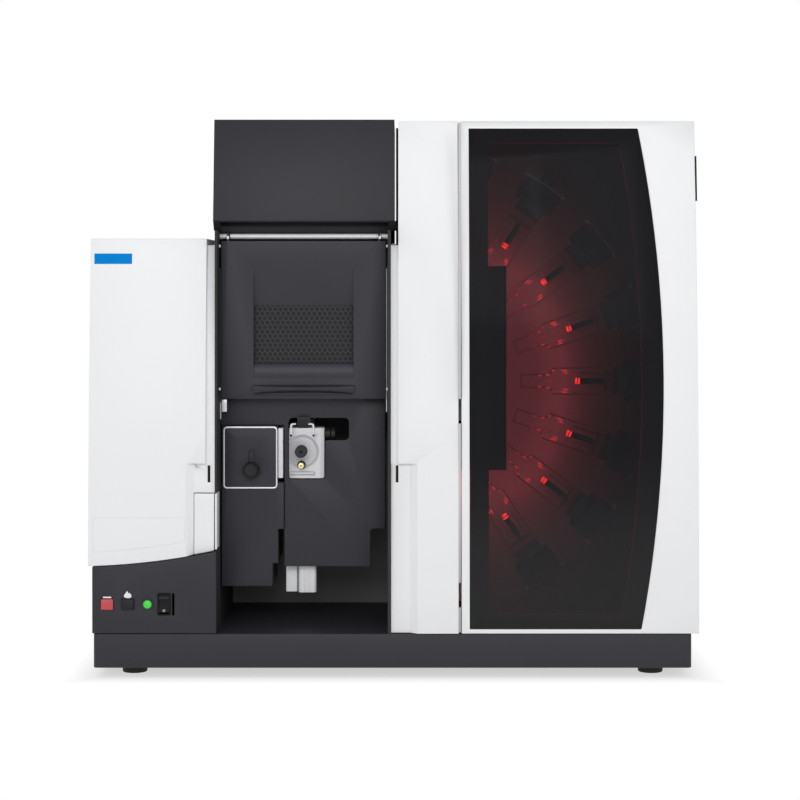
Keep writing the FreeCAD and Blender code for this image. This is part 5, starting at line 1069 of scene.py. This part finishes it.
def add_chamber_front():
    dish_part("chamber_dish", dish_plastic_painted_shade, (-0.2, DISH - 3.6), (0.3, DISH - 3.4), (0.9, DISH - 6), (0.5, 10),
              (-0.2, 10))
    dish_part("chamber_dish_groove", dish_groove_painted_shade, (-0.2, DISH - 0.6), (0.2, DISH - 0.8), (0.1, DISH - 3),
              (-0.2, DISH - 3.2))
    dish_part("chamber_dish_rim", chamber_plastic_painted_shade, (-0.2, DISH + 0.6), (0.7, DISH + 0.1), (0.3, DISH - 0.6),
              (-0.2, DISH - 0.7))
    # The grey rim round the pill is painted shade in the pill-shaped groove.
    rim = Form().plate(rounded(-139, 257.2, -105.1, 261.9, 2.3), CHAMBER_FRONT - 0.25, 0.4)
    rim.shown("chamber_pill_rim", grey_inlay_and_groove_shade, "burner", "silver_plastic")
    pill = Form().plate(rounded(-138.1, 258.3, -106.4, 260.8, 1.2), CHAMBER_FRONT - 0.45, 0.4)
    pill.shown("chamber_pill_face", chamber_plastic_painted_shade, "burner", "silver_plastic", bevel=0.1)
    knob_front = corners_of("nebulizer_knob")[0].y
    knob = middle_of("nebulizer_knob")
    # A black disc on the knob's face is painted shade for its bore.
    bore = Form().turned([(0, 0), (0, 1.9), (0.6, 2.2), (0.6, 0)], 24,
                         (knob.x, knob_front - 0.15, knob.z), BACK)
    bore.shown("nebulizer_knob_bore", lamp_black_and_painted_shade, "nebulizer_knob", "black_plastic")


def add_nut():
    """The brass nut where the fitting is, with a black disc of painted shade for its hole and the dark seat
    behind it.
    """
    low, high = corners_of("nebulizer_fitting")
    middle = (low + high) / 2
    turns = [math.pi * n / 3 for n in range(6)]
    outline = [(middle.x + NUT * math.cos(turn), middle.z + NUT * math.sin(turn)) for turn in turns]
    nut = Form().plate(outline, low.y, high.y - low.y)
    nut.shown("nebulizer_nut", brass, "burner", "brass", "nebulizer_fitting", bevel=0.6)
    seat = Form().turned([(0, 0), (0, 0.9), (0.6, 1.1), (0.6, 0)], 20,
                         (middle.x, low.y - 0.15, middle.z), BACK)
    seat.turned([(9, 0), (9, NUT + 0.9), (9.8, NUT + 1.1), (17, NUT + 1.1), (17, 0)], 32,
                (middle.x, low.y, middle.z), BACK)
    seat.shown("nebulizer_nut_seat", black_lining_and_painted_shadow, "burner", "black_plastic")


def add_drain_sleeves():
    sleeves = Form()
    for left, front, right, back, radius in ((-145.0, -201.8, -129.6, -186.2, 2.0),
                                             (-128.1, -210.0, -104.2, -186.2, 4.0)):
        outline = rounded(left, front, right, back, radius)
        sleeves.prism([(x, y, 98.9) for x, y in outline], (0, 0, 110))
    sleeves.shown("drain_bottle_sleeves", white_cover, "burner", "silver_plastic", bevel=0.6)


def add_clamp():
    outline = rounded(CLAMP_LEFT, CLAMP_LOW, CLAMP_RIGHT, CLAMP_HIGH, 1.2)
    clamp = Form().plate(outline, CHAMBER_FRONT - 0.9, 1.3)
    clamp.shown("chamber_clamp", black_plastic, "burner", "black_plastic", bevel=0.2)
    rib = Form().box((CLAMP_LEFT + 1, CHAMBER_FRONT - 1.6, -0.5), (CLAMP_RIGHT - 3, CHAMBER_FRONT - 0.8, 0.5))
    copies_at("chamber_clamp_ribs", rib, [(0, 0, CLAMP_LOW + 2.6 + 2.2 * n) for n in range(5)], black_plastic,
              "burner", "black_plastic")


def add_clip_ends():
    """A pale sleeve over each wire clip, and the dark end of its axle."""
    wire = 0.8
    for name, inward, reach in (("left_clip", 1, 6), ("right_clip", -1, 4.2)):
        low, high = corners_of(name)
        outer = low.x if inward > 0 else high.x
        middle, depth, top = outer + wire * inward, low.y + wire, high.z - wire
        sleeve = Form().tube([(middle, depth, low.z + 1.4), (middle, depth, top - 2),
                              (middle + 0.6 * inward, depth, top - 0.6), (middle + 2 * inward, depth, top),
                              (middle + reach * inward, depth, top)], 1.15, 12)
        sleeve.shown(name + "_sleeve", white_wire, name, "bright_steel")
        end = Form().turned([(0, 0), (0, 1.3), (0.5, 1.5), (1.2, 1.5), (1.2, 0)], 20,
                            (middle, low.y - 0.6, low.z + 0.6), BACK)
        end.shown(name + "_end", black_lining_and_painted_shadow, name, "black_plastic")


# Height adjuster: fluted knob and the shutter behind its slot

KNOB, KNOB_SHAFT, KNOB_FLUTES = 10.5, 32, 40


def add_adjuster():
    low, high = corners_of("adjuster_knob")
    start = (low.x + KNOB, low.y, low.z + KNOB)
    knob = Form().turned([(0.8, 0), (0.8, 7.6), (0, 8.2), (0, KNOB - 1.6), (1.1, KNOB - 0.9),
                          (16.4, KNOB - 0.9), (17.4, KNOB - 1.6), (17.4, 3.5), (KNOB_SHAFT, 3.5),
                          (KNOB_SHAFT, 0)], 48, start, BACK)
    knob.disc(KNOB_SHAFT, high.y - low.y, 5.5, 24, start, BACK)
    knob.shown("adjuster_knob_cap", black_plastic, "adjuster_knob", "black_plastic", "adjuster_knob")
    flute = Form().box((KNOB - 0.9, 1.4, -0.5), (KNOB - 0.05, 16.6, 0.5))
    copies_round("adjuster_knob_flutes", flute, black_plastic, "adjuster_knob", "black_plastic", centre=start,
                 count=KNOB_FLUTES, step=2 * math.pi / KNOB_FLUTES)
    x, z = start[0], start[2]
    shutter = Form().plate(rounded(x - 6, z - 28, x + 6, z + 27, 2), -227.95, 0.15)
    shutter.shown("adjuster_shutter", charcoal_sheet, "adjuster", "dark_sheet")


# Control panel: marks over the buttons, the rocker's ridge with a painted highlight and its dot, the lens's
# rings, the inner one painted shade

PANEL_FRONT = corners_of("control_panel")[0].y
MARK_LOW = corners_of("flame_off_button")[1].z + 1.4
MARK_THICK = 0.25


def add_button_marks():
    """A bar over the red button, and a generic flame with two tongues over the black one."""
    red_x, black_x = ((low.x + high.x) / 2 for low, high in (corners_of("flame_off_button"),
                                                             corners_of("ignite_button")))
    bar = rounded(red_x - 5.3, MARK_LOW, red_x + 5.3, MARK_LOW + 1.9, 0.4)
    left_side = [(-1.0, 0.0), (-3.6, 0.6), (-4.9, 2.3), (-4.6, 4.0), (-3.2, 5.6), (-1.9, 7.4), (-1.0, 9.4)]
    right_side = [(0.6, 7.4), (0.9, 5.4), (2.2, 6.9), (3.9, 5.2), (4.9, 3.2), (4.6, 1.4), (3.2, 0.3),
                  (1.0, 0.0)]
    flame = [(black_x + x, MARK_LOW + z) for x, z in left_side + right_side]
    for name, outline in (("stop_mark", bar), ("flame_mark", flame)):
        mark = Form().plate(outline, PANEL_FRONT - MARK_THICK, MARK_THICK + 0.1)
        mark.shown(name, white_print, "cabinet", "white_cover")


def add_rocker_marks():
    low, high = corners_of("power_rocker")
    ridge = Form().bar(((-286.4, 102.4), (-288.0, 102.8), (-288.4, 104.0), (-288.0, 105.8), (-286.4, 106.2)),
                       low.x + 1.6, high.x - 1.6)
    ridge.shown("rocker_ridge", black_plastic, "power_rocker", "black_plastic")
    # A lighter line along the ridge's crest is a painted highlight.
    line = Form().box((low.x + 1.8, -288.5, 103.2), (high.x - 1.8, -288.0, 103.8))
    line.shown("rocker_ridge_line", dark_steel_and_painted_highlight, "power_rocker", "black_plastic", bevel=0.1)
    dot = Form().turned([(0, 0), (0, 1.6), (0.3, 1.9), (1.2, 1.9), (1.2, 0)], 28,
                        ((low.x + high.x) / 2, -289.9, 87.6), BACK)
    dot.shown("rocker_dot", grey_inlay_and_groove_shade, "power_rocker", "black_plastic")


def add_lens_rings():
    lens = middle_of("status_lens")
    for name, look, slot, *profile in (
            ("status_lens_ring", black_rubber, "rubber",
             (0.1, 5.6), (0.8, 5.7), (0.9, 7.2), (0, 7.4), (-0.4, 7.4), (-0.4, 5.6)),
            # A dark green ring round the lens's edge is painted shade of the lit lens.
            ("status_lens_rim", lens_rim_painted_shade, "green_lens",
             (0.2, 5.0), (0.9, 5.1), (0.9, 5.8), (0, 6.0), (-0.4, 6.0), (-0.4, 5.0))):
        ring = Form().turned(profile, 40, (lens.x, PANEL_FRONT, lens.z), -BACK)
        ring.shown(name, look, "cabinet", slot)


# Covers: rims of the two catch slots with black plates of painted shade in them, the outlined flap of the
# left cover, and the door grip's edge

SLOT_LOW, SLOT_HIGH = 252.4, 274.6
FLAP_LEFT, FLAP_RIGHT, FLAP_HIGH, FLAP_LOW, FLAP_RISE = -390.0, -271.5, 207.4, 163.6, 12.9
EDGE_LOW, EDGE_HIGH = 618.5, 677.5


def add_catch_slots():
    # The black plates in the slots are painted shade of their openings.
    rims, shade_plates = Form(), Form()
    bottom = front_face(263.4) + 7.6
    for left, right in ((-242.4, -238.8), (1.8, 5.3)):
        rims.plate(rounded(left - 1.0, SLOT_LOW - 1.0, right + 1.0, SLOT_HIGH + 1.0, 1.0), bottom - 0.2, 0.6)
        shade_plates.plate(rounded(left, SLOT_LOW, right, SLOT_HIGH, 0.6), bottom - 0.35, 0.5)
    rims.shown("catch_slot_rims", white_print, "cabinet", "white_cover", bevel=0.1)
    shade_plates.shown("catch_slot_mouths", black_lining_and_painted_shadow, "cabinet", "black_plastic", bevel=0.1)


def add_flap_line():
    """The flap's outline on the bulged cover, with a lower edge that sweeps up to the right."""
    shares = [n / 20 for n in range(21)]
    corners = [(FLAP_LEFT, FLAP_HIGH)]
    corners += [(FLAP_LEFT + (FLAP_RIGHT - FLAP_LEFT) * share, FLAP_LOW + FLAP_RISE * share ** 1.6)
                for share in shares]
    corners += [(FLAP_RIGHT, FLAP_HIGH), (FLAP_LEFT, FLAP_HIGH)]
    points = [(x, front_face(z) + 0.05, z) for x, z in corners]
    line = Form()
    for here, after in zip(points, points[1:]):
        line.tube([here, after], 0.32, 6)
    line.shown("left_cover_flap_line", silver_plastic, "cabinet", "white_cover")


def add_grip_edge():
    heights = [EDGE_LOW + (EDGE_HIGH - EDGE_LOW) * n / 8 for n in range(9)]
    outline = [(front_face(z) + 0.3, z) for z in heights] + [(-243, EDGE_HIGH), (-243, EDGE_LOW)]
    edge = Form().bar(outline, 393.3, 396)
    edge.shown("door_grip_edge", black_lining_and_painted_shadow, "lamp_door", "black_plastic", bevel=0.2)


for build in (dress_solids, add_lamps, add_window_border, add_shield_mesh, add_shield_grip, add_shield_ramp,
              add_lug_sleeves, add_seals, add_feet, add_rear_screws, add_chamber_front, add_nut,
              add_drain_sleeves, add_clamp, add_clip_ends, add_adjuster, add_button_marks, add_rocker_marks,
              add_lens_rings, add_catch_slots, add_flap_line, add_grip_edge):
    build()


# Camera, floor and light

LENS, SHIFT_UP = 90.56, -0.15
CAMERA_PLACE = (0.0073, -2.890, 0.515)
OVERHEAD_AIM, SIDE_AIM = (0, 0, 0.35), (0, -0.2, 0.4)
OVERHEAD_SIZE, SIDE_SIZE = (2.2, 1.5), (0.6, 1.6)
WORLD_LIGHT, WORLD_SEEN = 0.45, 1.0
FLOOR_HALF = 12.0
# How white the floor is close by, and the distances past the footprint between which it fades to 1
FLOOR_NEAR, FADE = 0.585, (-0.01, 0.035)
# Middle and half width of the part's footprint on each axis, in metres
FOOTPRINT = (("X", 0.0, 0.39), ("Y", -0.012, 0.275))


def add_camera():
    data = bpy.data.cameras.new("camera")
    data.lens = LENS
    data.shift_y = SHIFT_UP
    data.clip_end = 100
    camera = placed("camera", data)
    camera.location = CAMERA_PLACE
    camera.rotation_euler = (math.radians(90), 0, 0)
    bpy.context.scene.camera = camera


def add_area(name, place, aim, size, power):
    data = bpy.data.lights.new(name, "AREA")
    data.shape = "RECTANGLE"
    data.size, data.size_y = size
    data.energy = power
    light = placed(name, data)
    light.location = place
    light.rotation_euler = (Vector(aim) - Vector(place)).to_track_quat("-Z", "Y").to_euler()


def add_world():
    """Even light on the object, and plain white where the camera sees the world."""
    world = bpy.data.worlds.new("studio")
    world.use_nodes = True
    tree = world.node_tree
    tree.nodes.clear()
    mix = tree.nodes.new("ShaderNodeMixShader")
    for socket, strength in ((1, WORLD_LIGHT), (2, WORLD_SEEN)):
        light = tree.nodes.new("ShaderNodeBackground")
        light.inputs["Color"].default_value = (1, 1, 1, 1)
        light.inputs["Strength"].default_value = strength
        tree.links.new(light.outputs[0], mix.inputs[socket])
    path = tree.nodes.new("ShaderNodeLightPath")
    out = tree.nodes.new("ShaderNodeOutputWorld")
    tree.links.new(path.outputs["Is Camera Ray"], mix.inputs["Fac"])
    tree.links.new(mix.outputs[0], out.inputs["Surface"])
    bpy.context.scene.world = world


def floor_finish():
    """Pale near the part, where it keeps the shadow, and plain white further out."""
    made = finish("pale_floor", (0.93, 0.93, 0.935), 0.8, 0.01, 0.01, 0.004)
    glow = made.node("Emission")
    glow.inputs["Strength"].default_value = 1.0
    apart = made.node("SeparateXYZ")
    made.link(made.place, apart.inputs[0])
    past = []
    for axis, centre, half in FOOTPRINT:
        away = made.math("ABSOLUTE", made.math("SUBTRACT", apart.outputs[axis], centre))
        past.append(made.math("SUBTRACT", away, half))
    fade = made.spread(made.math("MAXIMUM", *past), FLOOR_NEAR, 1.0, *FADE)
    path = made.node("LightPath")
    seen = path.outputs["Is Camera Ray"]
    for ray in ("Is Glossy Ray", "Is Transmission Ray"):
        seen = made.math("MAXIMUM", seen, path.outputs[ray])
    mix = made.node("MixShader")
    made.link(made.math("MULTIPLY", seen, fade), mix.inputs["Fac"])
    made.link(made.surface.outputs[0], mix.inputs[1])
    made.link(glow.outputs[0], mix.inputs[2])
    made.link(mix.outputs[0], made.output.inputs["Surface"])
    return made


def add_floor():
    mesh = bpy.data.meshes.new("floor")
    half = FLOOR_HALF
    corners = [(-half, -half, 0), (half, -half, 0), (half, half, 0), (-half, half, 0)]
    mesh.from_pydata(corners, [], [(0, 1, 2, 3)])
    floor = placed("floor", mesh)
    mesh.materials.append(floor_finish().material)


add_camera()
add_world()
add_floor()
for name, place, aim, size, power in (
        ("key", (-0.9, -4.0, 1.75), OVERHEAD_AIM, OVERHEAD_SIZE, 37),
        ("fill", (1.0, -4.0, 1.7), OVERHEAD_AIM, OVERHEAD_SIZE, 30),
        ("left_edge", (-2.4, -0.9, 1.2), SIDE_AIM, SIDE_SIZE, 6),
        ("right_edge", (2.4, -0.9, 1.2), SIDE_AIM, SIDE_SIZE, 6)):
    add_area(name, place, aim, size, power)
bpy.context.scene.view_settings.view_transform = "Standard"
